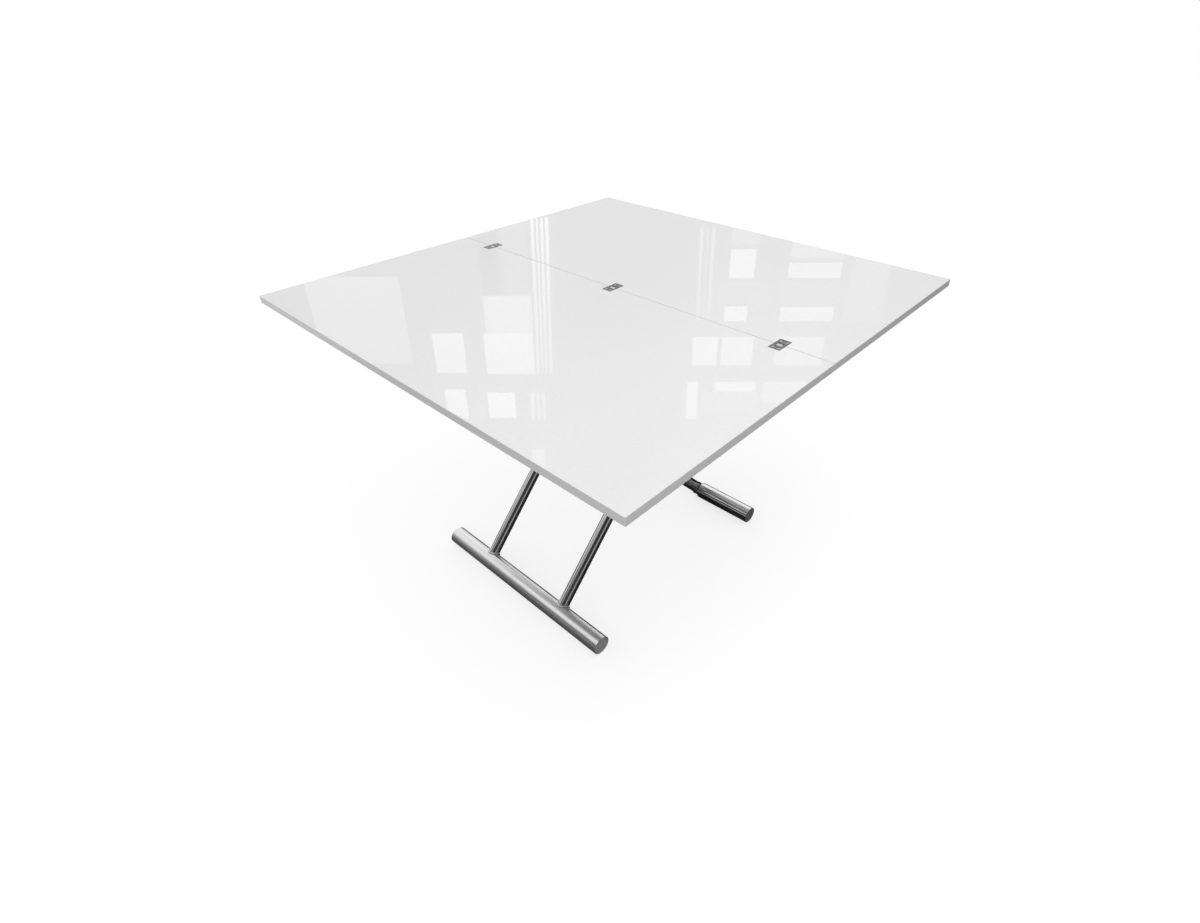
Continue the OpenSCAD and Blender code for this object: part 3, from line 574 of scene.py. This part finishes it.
# Foot tube with its caps, and the two legs welded onto it
foot = {
    "centre": (-390 * mm, 25 * mm), "half": 305 * mm, "radius": 25 * mm, "bore": 23 * mm,
    "endRound": 0.7 * mm,
}
endCap = {
    "inner": 301 * mm, "outer": 304.4 * mm, "room": 0.05 * mm, "rim": 1.2 * mm, "slope": 0.6 * mm,
    "dish": 0.5 * mm, "ease": 0.2 * mm,
}
leg = {
    "foot": foot["centre"], "head": (270 * mm, 725 * mm), "x": 147.5 * mm, "radius": 15 * mm,
    "bore": 13 * mm, "headTube": 16 * mm, "sink": 0.2 * mm,  # how deep its ends sink into the tubes
    # the bead round its ends, with fine ripples and a slow waver, as shares of the bead's size
    "weld": 3.8 * mm, "weldIn": 0.3 * mm, "weldUp": 0.4 * mm, "ripples": 34, "rippleHigh": 0.10,
    "wavers": 7, "waverHigh": 0.05,
}


def endCapDisc(sign, centre):
    # a pressed cap: flat rim, and inside it a shallow dish
    back, face, radius = sign * endCap["inner"], sign * endCap["outer"], foot["bore"] - endCap["room"]
    rim, dish = radius - endCap["rim"], face - sign * endCap["dish"]
    shape = bmesh.new()
    turnProfile(
        shape,
        [(0, back), (radius, back), (radius, face), (rim, face), (rim - endCap["slope"], dish), (0, dish)],
        (0, *centre), (1, 0, 0), turnSteps["tube"],
    )
    softenEdges(shape, endCap["ease"], 2, above=20)
    return shape


def saddle(angle, tubeRadius, legRadius):
    # how far from the tube's axis the leg meets the tube, at an angle round the leg from the X axis
    return math.sqrt(tubeRadius**2 - (legRadius * math.sin(angle)) ** 2)


def legFrame():
    start, end = Vector((0, *leg["foot"])), Vector((0, *leg["head"]))
    along = (end - start).normalized()
    return start, along, Vector((1, 0, 0)), along.cross(Vector((1, 0, 0))), (end - start).length


def roundLeg(x):
    start, along, right, out, length = legFrame()
    shape = bmesh.new()
    turnProfile(
        shape, [(leg["radius"], 0), (leg["radius"], length), (leg["bore"], length), (leg["bore"], 0)],
        start, along, turnSteps["leg"],
    )
    for v in shape.verts:
        here = v.co - start
        height = here.dot(along)
        angle, radius = math.atan2(here.dot(out), here.dot(right)), (here - along * height).length
        if height < length / 2:
            v.co += along * (saddle(angle, foot["radius"], radius) - leg["sink"])
        else:
            v.co -= along * (saddle(angle, leg["headTube"], radius) - leg["sink"])
    bmesh.ops.translate(shape, vec=(x, 0, 0), verts=shape.verts)
    return shape


def weldBead(x, fromHead=False):
    # a ring of weld round the leg's end: a turned bead, moved along the leg to follow the saddle
    start, along, right, out, length = legFrame()
    tubeRadius = leg["headTube"] if fromHead else foot["radius"]
    shape = bmesh.new()
    size, centre, corners = leg["weld"], leg["radius"] - leg["weldIn"], 14
    angles = [2 * math.pi * i / corners for i in range(corners)]
    beadSection = [(centre + size * math.cos(a), size * math.sin(a)) for a in angles]
    turnProfile(shape, beadSection, start, along, turnSteps["legWeld"])
    for v in shape.verts:
        here = v.co - start
        height = here.dot(along)
        flat = here - along * height
        angle = math.atan2(flat.dot(out), flat.dot(right))
        ripple = leg["rippleHigh"] * math.sin(angle * leg["ripples"])
        swell = 1 + ripple + leg["waverHigh"] * math.sin(angle * leg["wavers"] + 1)
        radius = centre + (flat.length - centre) * swell
        lift = saddle(angle, tubeRadius, leg["radius"]) + leg["weldUp"]
        place = (length - lift if fromHead else lift) + height * swell
        v.co = start + flat.normalized() * radius + along * place
    bmesh.ops.translate(shape, vec=(x, 0, 0), verts=shape.verts)
    return shape


footTube = tubeAlongX(
    -foot["half"], foot["half"], foot["radius"], foot["bore"], foot["centre"], foot["endRound"],
)
addPiece("footTubeMade", footTube, "outer_frame", "footSteel", ("foot_tube",))
caps = bmesh.new()
for sign in (-1, 1):
    joinShape(caps, endCapDisc(sign, foot["centre"]))
addPiece("footCapsMade", caps, "outer_frame", "capSteel", ("foot_caps",))
for sign, word in ((-1, "left"), (1, "right")):
    name, node, x = "leg" + word.capitalize(), "outer_leg_" + word, sign * leg["x"]
    addPiece(name, roundLeg(x), "outer_frame", "legSteel", (node,), 40)
    welds = weldBead(x)
    joinShape(welds, weldBead(x, True))
    addPiece("weld" + word.capitalize(), welds, "outer_frame", "weldSteel", (), 60)
print("outer frame ready")


# Floor rollers with their caps
roller = {
    "centre": (270 * mm, 25 * mm), "inner": 116.5 * mm, "outer": foot["half"], "lip": 2.6 * mm,
    "groove": 1.6 * mm, "grooveDeep": 1.3 * mm, "endRound": 0.5 * mm,
}


def rollerTube(sign):
    # a turned tube whose inner end carries the lip of a plug behind a shallow groove
    radius, bore, grooved = foot["radius"], foot["bore"], foot["radius"] - roller["grooveDeep"]
    near, end = sign * roller["inner"], sign * roller["outer"]
    low = sign * (roller["inner"] + roller["lip"])
    high = sign * (roller["inner"] + roller["lip"] + roller["groove"])
    shape = bmesh.new()
    turnProfile(
        shape,
        [(bore, near), (radius, near), (radius, low), (grooved, low), (grooved, high), (radius, high),
         (radius, end), (bore, end)],
        (0, *roller["centre"]), (1, 0, 0), turnSteps["tube"],
    )
    softenEdges(shape, roller["endRound"], 3, above=60)
    return shape


for sign, word, body in ((-1, "left", "roller_l"), (1, "right", "roller_r")):
    title, tube, cap = word.capitalize(), rollerTube(sign), endCapDisc(sign, roller["centre"])
    addPiece("rollerTube" + title, tube, body, "rollerSteel", ("roller_" + word,))
    addPiece("rollerCap" + title, cap, body, "rollerCapSteelPaintedShade", ("roller_cap_" + word,))
print("rollers ready")


# The pieces under the top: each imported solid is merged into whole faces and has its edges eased
packedBodies = frame["record"]["behaviour"]["bodies"]
nodeBody = {name: body for body, names in packedBodies.items() for name in names}
easedNodes = {
    # finish: {edge width in mm: nodes}
    "framePaint": {
        0.8: ("front_bar", "rear_bar"),
        0.5: ("rail_left", "rail_right", "base_plate", "gas_lugs", "release_head", "gas_eye"),
    },
    "zincSteel": {
        0.4: ("turn_plate", "swivel_nut", "base_nuts", "crossing_nuts", "crossing_bolts", "stop_pin"),
        0.25: (
            "base_bolts", "pivot_bushes", "swivel_bolt", "shaft_clips", "axle_washers", "axle_clips",
            "wheel_clips", "lever_clips", "release_button",
        ),
        0.12: ("turn_plate_screws",),
    },
    "nylon": {
        0.6: ("rail_wheel_left", "rail_wheel_right"),
        0.3: ("slide_disc", "glide_pads", "crossing_spacers", "roller_bushes_left", "roller_bushes_right"),
    },
    "armSteel": {0.5: ("inner_arm_left", "inner_arm_right")},
    "footSteel": {
        0.5: (
            "inner_top_shaft", "push_bar", "roller_axle", "outer_top_tube", "crossing_sleeves",
            "release_shaft",
        ),
    },
    "rodChrome": {0.5: ("gas_rod",)},
    "blackPaint": {0.5: ("release_lever",)},
}
# on these the edges of small bores would hold the width back, so it isn't clamped
unclamped = (
    "rail_left", "rail_right", "base_plate", "release_lever", "inner_arm_left", "inner_arm_right",
    "outer_top_tube", "gas_eye", "release_shaft",
)
shortestEased = {"release_lever": 1.2 * mm}  # shorter edges of this one stay as they are


def easedSolid(node, width):
    shape = mergedCopy(node)
    longEnough = lambda e: e.calc_length() > shortestEased.get(node, 0)
    softenEdges(shape, width, 2, above=40, where=longEnough, clamp=node not in unclamped)
    return shape


def pieceName(node):
    first, *rest = node.split("_")
    return first + "".join(word.capitalize() for word in rest)


for finish, groups in easedNodes.items():
    for width, nodes in groups.items():
        for node in nodes:
            shape = easedSolid(node, width * mm)
            addPiece(pieceName(node), shape, nodeBody[node], finish, (node,), 35)
print("eased pieces ready")


# Gas spring: black cylinder with rolled ends and a crimped groove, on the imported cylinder's own line
gasSpring = {
    "start": (0, -140 * mm, 725 * mm), "end": (0, -323.97 * mm, 483.88 * mm), "radius": 11 * mm,
    "wall": 1.5 * mm, "rodHole": 5.1 * mm, "roll": 2.4 * mm, "rollAngles": (0, 0.4, 0.8, 1.2, math.pi / 2),
    "crimpAt": 9 * mm, "crimpLong": 2.4 * mm, "crimpDeep": 0.7 * mm, "crimpSlope": 0.5 * mm,
    "guide": 5 * mm, "endPlug": 8 * mm,
}


def spanAlong(node, start, direction):
    reach = [(v.co - start).dot(direction) for v in frame["nodes"][node].data.vertices]
    return min(reach), max(reach)


def gasCylinder():
    start = Vector(gasSpring["start"])
    line = (Vector(gasSpring["end"]) - start).normalized()
    low, high = spanAlong("gas_cylinder", start, line)
    radius, hole, roll = gasSpring["radius"], gasSpring["rodHole"], gasSpring["roll"]
    inside, crimped = radius - gasSpring["wall"], radius - gasSpring["crimpDeep"]
    crimp = low + gasSpring["crimpAt"]
    crimpEnd, slope = crimp + gasSpring["crimpLong"], gasSpring["crimpSlope"]
    plug, guide = high - gasSpring["endPlug"], low + gasSpring["guide"]
    rolled = [
        (radius - roll + roll * math.sin(a), roll - roll * math.cos(a)) for a in gasSpring["rollAngles"]
    ]
    shape = bmesh.new()
    turnProfile(
        shape,
        [(hole, low), *((r, low + along) for r, along in rolled),
         (radius, crimp), (crimped, crimp + slope), (crimped, crimpEnd - slope), (radius, crimpEnd),
         *((r, high - along) for r, along in reversed(rolled)), (0, high),
         (0, plug), (inside, plug), (inside, guide), (hole, guide)],
        start, line, turnSteps["cylinder"],
    )
    return shape


addPiece(
    "gasCylinderMade", gasCylinder(), "gas_body", "blackPaint",
    ("gas_cylinder",), 30,
)


# Grip: rounded moulding on the lever's end, with ribs across both faces
grip = {
    "round": 3.5 * mm, "faceDepth": mm, "ribs": 6, "ribHigh": 0.7 * mm, "ribHalf": 1.1 * mm,
    "ribInset": 5 * mm, "ribFrom": 9 * mm, "ribRound": 0.6 * mm,
}


def leverGrip():
    shape = mergedCopy("lever_grip")
    low, high = (Vector(corner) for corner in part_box("lever_grip"))
    # the grip's own axes: its widest face that isn't a side gives the normal, and X is shared
    broadside = lambda f: abs(f.normal.x) < 0.1
    normal = max(filter(broadside, shape.faces), key=lambda f: f.calc_area()).normal.copy()
    right = Vector((1, 0, 0))
    along = normal.cross(right).normalized()
    centre = (low + high) / 2
    reach = [(v.co - centre).dot(along) for v in shape.verts]
    surface = max((v.co - centre).dot(normal) for v in shape.verts)
    outside = lambda v: abs((v.co - centre).dot(normal)) > surface - grip["faceDepth"]
    softenEdges(shape, grip["round"], 4, where=lambda e: any(outside(v) for v in e.verts))
    spacing = (max(reach) - min(reach) - 2 * grip["ribFrom"]) / (grip["ribs"] - 1)
    ribTop = Vector(((high.x - low.x) / 2 - grip["ribInset"], grip["ribHalf"], grip["ribHigh"]))
    gripAxes = Matrix((right, along, normal)).transposed().to_4x4()
    for number in range(grip["ribs"]):
        for face in (-1, 1):
            rib = bmesh.new()
            block(rib, -ribTop, ribTop)
            softenEdges(rib, grip["ribRound"], 3)
            onLine = centre + along * (min(reach) + grip["ribFrom"] + spacing * number)
            place = Matrix.Translation(onLine + normal * face * surface)
            bmesh.ops.transform(rib, matrix=place @ gripAxes, verts=rib.verts)
            joinShape(shape, rib)
    return shape


addPiece(
    "leverGripMade", leverGrip(), nodeBody["lever_grip"], "blackPlastic",
    ("lever_grip",), 35,
)


# Weld beads: rings round the arms' bosses, and seams where the cross bars meet the rails
weldSizes = {
    "ring": 1.2 * mm, "bossRadius": 20 * mm, "ringRipple": 0.12, "rippleStep": 2.2 * mm,
    "seam": 1.6 * mm, "seamRipple": 0.14, "seamTip": 0.6, "seamOut": 0.4 * mm, "seamInset": 2 * mm,
}
armEnds = {"floor": roller["centre"], "pivot": (-390 * mm, 725 * mm), "faces": (96.5 * mm, 114.5 * mm)}


def ringBead(x, centre, radius, size):
    shape, corners = bmesh.new(), 10
    angles = [2 * math.pi * i / corners for i in range(corners)]
    section = [(radius + size * math.cos(a), x + size * math.sin(a)) for a in angles]
    turnProfile(shape, section, (0, *centre), (1, 0, 0), turnSteps["armWeld"])
    ripples = round(2 * math.pi * radius / weldSizes["rippleStep"])
    for v in shape.verts:
        angle = math.atan2(v.co.z - centre[1], v.co.y - centre[0])
        v.co.x = x + (v.co.x - x) * (1 + weldSizes["ringRipple"] * math.sin(angle * ripples))
    return shape


def seamBead(start, end, size):
    start, end = Vector(start), Vector(end)
    length, line = (end - start).length, (end - start).normalized()
    step, tip = weldSizes["rippleStep"], size * weldSizes["seamTip"]
    shape = bmesh.new()
    outline = [(0, 0), (size, tip), (size, length - tip), (0, length)]
    turnProfile(shape, outline, start, line, turnSteps["seam"])
    cuts = int(length / step * 2)
    for number in range(1, cuts):
        cutPlane(shape, start + line * (length * number / cuts), line)
    for v in shape.verts:
        height = (v.co - start).dot(line)
        onAxis = start + line * height
        ripple = weldSizes["seamRipple"] * math.sin(2 * math.pi * height / step)
        v.co = onAxis + (v.co - onAxis) * (1 + ripple)
    return shape


for sign, word in ((-1, "left"), (1, "right")):
    beads = bmesh.new()
    for end in ("floor", "pivot"):
        for face in armEnds["faces"]:
            ring = ringBead(sign * face, armEnds[end], weldSizes["bossRadius"], weldSizes["ring"])
            joinShape(beads, ring)
    addPiece("armWelds" + word.capitalize(), beads, "inner_frame", "weldSteel", (), 60)
beads = bmesh.new()
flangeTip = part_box("rail_right")[0][0]
out, inset = weldSizes["seamOut"], weldSizes["seamInset"]
for bar in ("front_bar", "rear_bar"):
    low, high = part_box(bar)
    for sign in (-1, 1):
        for z in (low[2] - out, high[2] + out):
            ends = [(sign * (flangeTip - out), y, z) for y in (low[1] + inset, high[1] - inset)]
            joinShape(beads, seamBead(*ends, weldSizes["seam"]))
addPiece("frameWelds", beads, "upper_frame", "framePaint", (), 60)
print("gas spring, grip and welds ready")


# Studio: pale floor, grey room, two soft lamps, and windows beyond the table for the lacquer to mirror
studio = {
    # floor: the camera sees glow plus shade, and other surfaces get back bounce plus bounceShade, a painted
    # light that glows brighter under the table than further out
    "floorSize": 400, "floorGlow": 0.71, "floorShade": 0.40,
    "bounce": (0.80, 0.36), "bounceRadius": (0.5, 1.3), "bounceShade": 0.10,
    # steel and lacquer mirror a white floor far off, and nearer the table a floor darkened by painted
    # shade, darkest under it
    "mirrorFar": 0.75, "mirrorNearPaintedShade": 0.16, "mirrorUnderPaintedShade": 0.15,
    "paintedShadeNearRadius": (1.4, 2.6), "paintedShadeUnderFrom": (-0.55, -0.30),
    # room: a plain level that leans a little to one side
    "plain": 0.71, "lean": 0.20, "leanSide": (-0.8, -0.6, 0.0),
    # mirrors see it dim, with a far wall and a ceiling lit on the bright side
    "brightSide": (-0.92, 0.38, 0.0), "dim": 0.035, "lightUp": (0.35, 0.60),
    "ceiling": 1.00, "ceilingSide": (-0.50, 0.0), "farWall": 0.90, "wallSide": (0.2, 0.6),
    # low on the other sides it is pale, which shows only where the lacquer is looked along
    "skirting": 0.55, "skirtingUp": (0.06, 0.20), "skirtingSide": (-0.1, 0.3),
    # name: (place, aim, width, height, watts, mirrored)
    "lamps": {
        "overhead": ((0.7, 0.5, 4.1), (0.0, 0.0, 0.7), 2.0, 2.0, 11, True),
        "front": ((1.0, -0.55, 1.9), (0.6, -0.35, 0.77), 0.8, 0.8, 4, False),
    },
    # the window wall stands this far beyond the camera, and each pane is (left, right, bottom, top, glow)
    "wallDistance": 6.0,
    "panes": (
        (-3.35, -2.42, 2.40, 3.34, 1.30), (-2.18, -1.86, 2.30, 3.00, 0.95),
        (-2.18, -1.86, 3.00, 3.46, 1.9), (-1.62, -1.44, 2.00, 2.60, 0.80),
        (-1.40, -1.16, 1.85, 2.60, 1.0), (-1.62, -1.14, 2.60, 3.00, 1.5),
        (-1.65, -1.14, 3.00, 3.47, 1.9), (-1.115, -1.085, 1.85, 3.47, 1.6),
        (-1.065, -1.045, 1.85, 3.47, 1.6), (-1.025, -1.00, 1.85, 3.47, 1.7),
        (-0.98, -0.95, 1.85, 3.47, 1.7), (-0.93, -0.91, 1.85, 3.47, 1.0),
        (-2.13, -1.90, 3.66, 4.03, 2.2), (-1.67, -1.37, 3.70, 4.03, 2.4),
        (-1.87, -1.70, 3.88, 4.03, 1.2), (-1.20, -1.16, 3.70, 4.06, 1.8),
        (-1.13, -1.10, 3.70, 4.06, 1.8), (-1.07, -1.04, 3.70, 4.06, 1.8),
        (-1.22, -1.06, 4.45, 4.76, 1.8), (0.50, 0.62, 3.58, 4.05, 2.0), (0.66, 1.27, 3.70, 3.95, 1.2),
        (0.80, 1.24, 3.58, 3.70, 1.9), (1.33, 1.85, 3.58, 3.85, 1.5), (0.54, 0.80, 3.05, 3.38, 1.8),
        (0.84, 1.17, 3.05, 3.38, 1.7), (1.40, 1.90, 3.05, 3.38, 1.5), (0.56, 0.59, 1.95, 2.88, 1.3),
        (0.62, 0.64, 1.95, 2.88, 1.1), (0.67, 0.70, 1.95, 2.80, 1.3), (0.84, 1.07, 2.72, 2.88, 1.7),
        (0.76, 1.28, 2.46, 2.70, 1.0), (0.86, 1.10, 2.15, 2.43, 1.6), (0.86, 1.12, 1.90, 2.10, 1.1),
        (1.40, 1.94, 2.73, 2.88, 1.6), (1.36, 2.02, 2.46, 2.70, 1.0), (1.43, 1.94, 2.28, 2.43, 1.5),
        (1.43, 1.94, 2.08, 2.24, 1.2), (2.04, 2.42, 2.20, 2.88, 1.1),
    ),
    "paneLean": 0.06, "leanFrom": 3.6,  # panes on the left lean by this much, measured from this height
}


def stageObject(name, shape, material):
    mesh = bpy.data.meshes.new(name)
    shape.to_mesh(mesh)
    shape.free()
    mesh.materials.append(material)
    thing = bpy.data.objects.new(name, mesh)
    bpy.context.scene.collection.objects.link(thing)


def makeFloor():
    shape = bmesh.new()
    bmesh.ops.create_grid(shape, x_segments=1, y_segments=1, size=studio["floorSize"] / 2)
    material = bpy.data.materials.new("paleFloor")
    material.use_nodes = True
    tree = material.node_tree
    tree.nodes.clear()
    output = tree.nodes.new("ShaderNodeOutputMaterial")
    path = tree.nodes.new("ShaderNodeLightPath")

    def diffuse(level):
        shader = tree.nodes.new("ShaderNodeBsdfDiffuse")
        shader.inputs["Color"].default_value = (*grey(level), 1)
        return shader.outputs["BSDF"]

    def glowing(level, shade):
        light = tree.nodes.new("ShaderNodeEmission")
        if isinstance(level, float):
            light.inputs["Strength"].default_value = level
        else:
            tree.links.new(level, light.inputs["Strength"])
        both = tree.nodes.new("ShaderNodeAddShader")
        tree.links.new(light.outputs["Emission"], both.inputs[0])
        tree.links.new(diffuse(shade), both.inputs[1])
        return both.outputs["Shader"]

    place = tree.nodes.new("ShaderNodeTexCoord").outputs["Object"]
    length = tree.nodes.new("ShaderNodeVectorMath")
    length.operation = "LENGTH"
    split = tree.nodes.new("ShaderNodeSeparateXYZ")
    for node in (length, split):
        tree.links.new(place, node.inputs[0])
    radius = length.outputs["Value"]
    # painted shade: the floor that mirrors see darkens towards the table and is darkest under it
    near = rise(tree, radius, *studio["paintedShadeNearRadius"], studio["mirrorNearPaintedShade"], studio["mirrorFar"])
    under = rise(tree, split.outputs["Y"], *studio["paintedShadeUnderFrom"], 1, studio["mirrorUnderPaintedShade"])
    mirrored = tree.nodes.new("ShaderNodeBsdfDiffuse")
    tree.links.new(combine(tree, "MULTIPLY", near, under), mirrored.inputs["Color"])
    mirrored = mirrored.outputs["BSDF"]
    # painted light: for diffuse rays the floor glows, brighter under the table than further out
    bounce = glowing(rise(tree, radius, *studio["bounceRadius"], *studio["bounce"]), studio["bounceShade"])
    rest = mixShaders(tree, path.outputs["Is Glossy Ray"], bounce, mirrored)
    rest = mixShaders(tree, path.outputs["Is Transmission Ray"], rest, mirrored)
    seen = glowing(studio["floorGlow"], studio["floorShade"])
    tree.links.new(mixShaders(tree, path.outputs["Is Camera Ray"], rest, seen), output.inputs["Surface"])
    stageObject("paleFloor", shape, material)


def makeGlow(name, strength):
    # a lit pane that the camera looks straight through, while the lacquer and the steel mirror it
    material = bpy.data.materials.new(name)
    material.use_nodes = True
    tree = material.node_tree
    tree.nodes.clear()
    output = tree.nodes.new("ShaderNodeOutputMaterial")
    path = tree.nodes.new("ShaderNodeLightPath")
    light = tree.nodes.new("ShaderNodeEmission")
    light.inputs["Strength"].default_value = strength
    clear = tree.nodes.new("ShaderNodeBsdfTransparent")
    tree.links.new(
        mixShaders(tree, path.outputs["Is Camera Ray"], light.outputs["Emission"], clear.outputs["BSDF"]),
        output.inputs["Surface"],
    )
    return material


def makeWindows():
    heading = cameraView["heading"]
    ahead = Vector((math.cos(heading), math.sin(heading), 0))
    right = Vector((math.sin(heading), -math.cos(heading), 0))
    wall = Vector(cameraView["place"]) + ahead * studio["wallDistance"]
    for number, (left, far, bottom, top, glow) in enumerate(studio["panes"]):
        shape = bmesh.new()
        corners = bmesh.ops.create_grid(shape, x_segments=1, y_segments=1, size=0.5)["verts"]
        for v in corners:
            across, up = left + (v.co.x + 0.5) * (far - left), bottom + (v.co.y + 0.5) * (top - bottom)
            across += studio["paneLean"] * (studio["leanFrom"] - up) if left < 0 else 0
            v.co = wall + right * across
            v.co.z = up
        stageObject(f"windowPane{number}", shape, makeGlow(f"paneGlow{number}", glow))


def makeLamps():
    for name, (place, aim, width, height, watts, mirrored) in studio["lamps"].items():
        data = bpy.data.lights.new(name, "AREA")
        data.shape, data.size, data.size_y, data.energy = "RECTANGLE", width, height, watts
        lamp = bpy.data.objects.new(name, data)
        bpy.context.scene.collection.objects.link(lamp)
        lamp.location = place
        lamp.rotation_mode = "QUATERNION"
        lamp.rotation_quaternion = (Vector(aim) - Vector(place)).to_track_quat("-Z", "Y")
        lamp.visible_glossy = mirrored


def makeRoom():
    world = bpy.data.worlds.new("dayRoom")
    world.use_nodes = True
    tree = world.node_tree
    tree.nodes.clear()
    place = tree.nodes.new("ShaderNodeTexCoord")
    path = tree.nodes.new("ShaderNodeLightPath")

    def toward(direction):
        node = tree.nodes.new("ShaderNodeVectorMath")
        node.operation = "DOT_PRODUCT"
        tree.links.new(place.outputs["Generated"], node.inputs[0])
        node.inputs[1].default_value = direction
        return node.outputs["Value"]

    up, side = toward((0, 0, 1)), toward(studio["brightSide"])

    def litPart(upSpan, upLevels, sideSpan, sideLevels):
        # one lit part of the room: its level follows how high and how far to the side a direction points
        byUp = rise(tree, up, *studio[upSpan], *upLevels)
        return combine(tree, "MULTIPLY", byUp, rise(tree, side, *studio[sideSpan], *sideLevels))

    ceiling = litPart("lightUp", (0, studio["ceiling"]), "ceilingSide", (0, 1))
    farWall = litPart("lightUp", (studio["farWall"], 0), "wallSide", (0, 1))
    skirting = litPart("skirtingUp", (studio["skirting"], 0), "skirtingSide", (1, 0))
    lit = combine(tree, "ADD", combine(tree, "ADD", ceiling, farWall), skirting)
    mirrored = combine(tree, "ADD", lit, studio["dim"])
    plainSpan = (studio["plain"] - studio["lean"], studio["plain"] + studio["lean"])
    plain = rise(tree, toward(studio["leanSide"]), -1, 1, *plainSpan, False)

    def background(strength):
        node = tree.nodes.new("ShaderNodeBackground")
        node.inputs["Color"].default_value = (1, 1, 1, 1)
        if strength:
            tree.links.new(strength, node.inputs["Strength"])
        return node.outputs["Background"]

    mirror = background(mirrored)
    room = mixShaders(tree, path.outputs["Is Glossy Ray"], background(plain), mirror)
    room = mixShaders(tree, path.outputs["Is Transmission Ray"], room, mirror)
    output = tree.nodes.new("ShaderNodeOutputWorld")
    seen = mixShaders(tree, path.outputs["Is Camera Ray"], room, background(None))
    tree.links.new(seen, output.inputs["Surface"])
    bpy.context.scene.world = world


makeFloor()
makeWindows()
makeLamps()
makeRoom()
bpy.context.scene.view_settings.view_transform = "Standard"
print("studio ready")
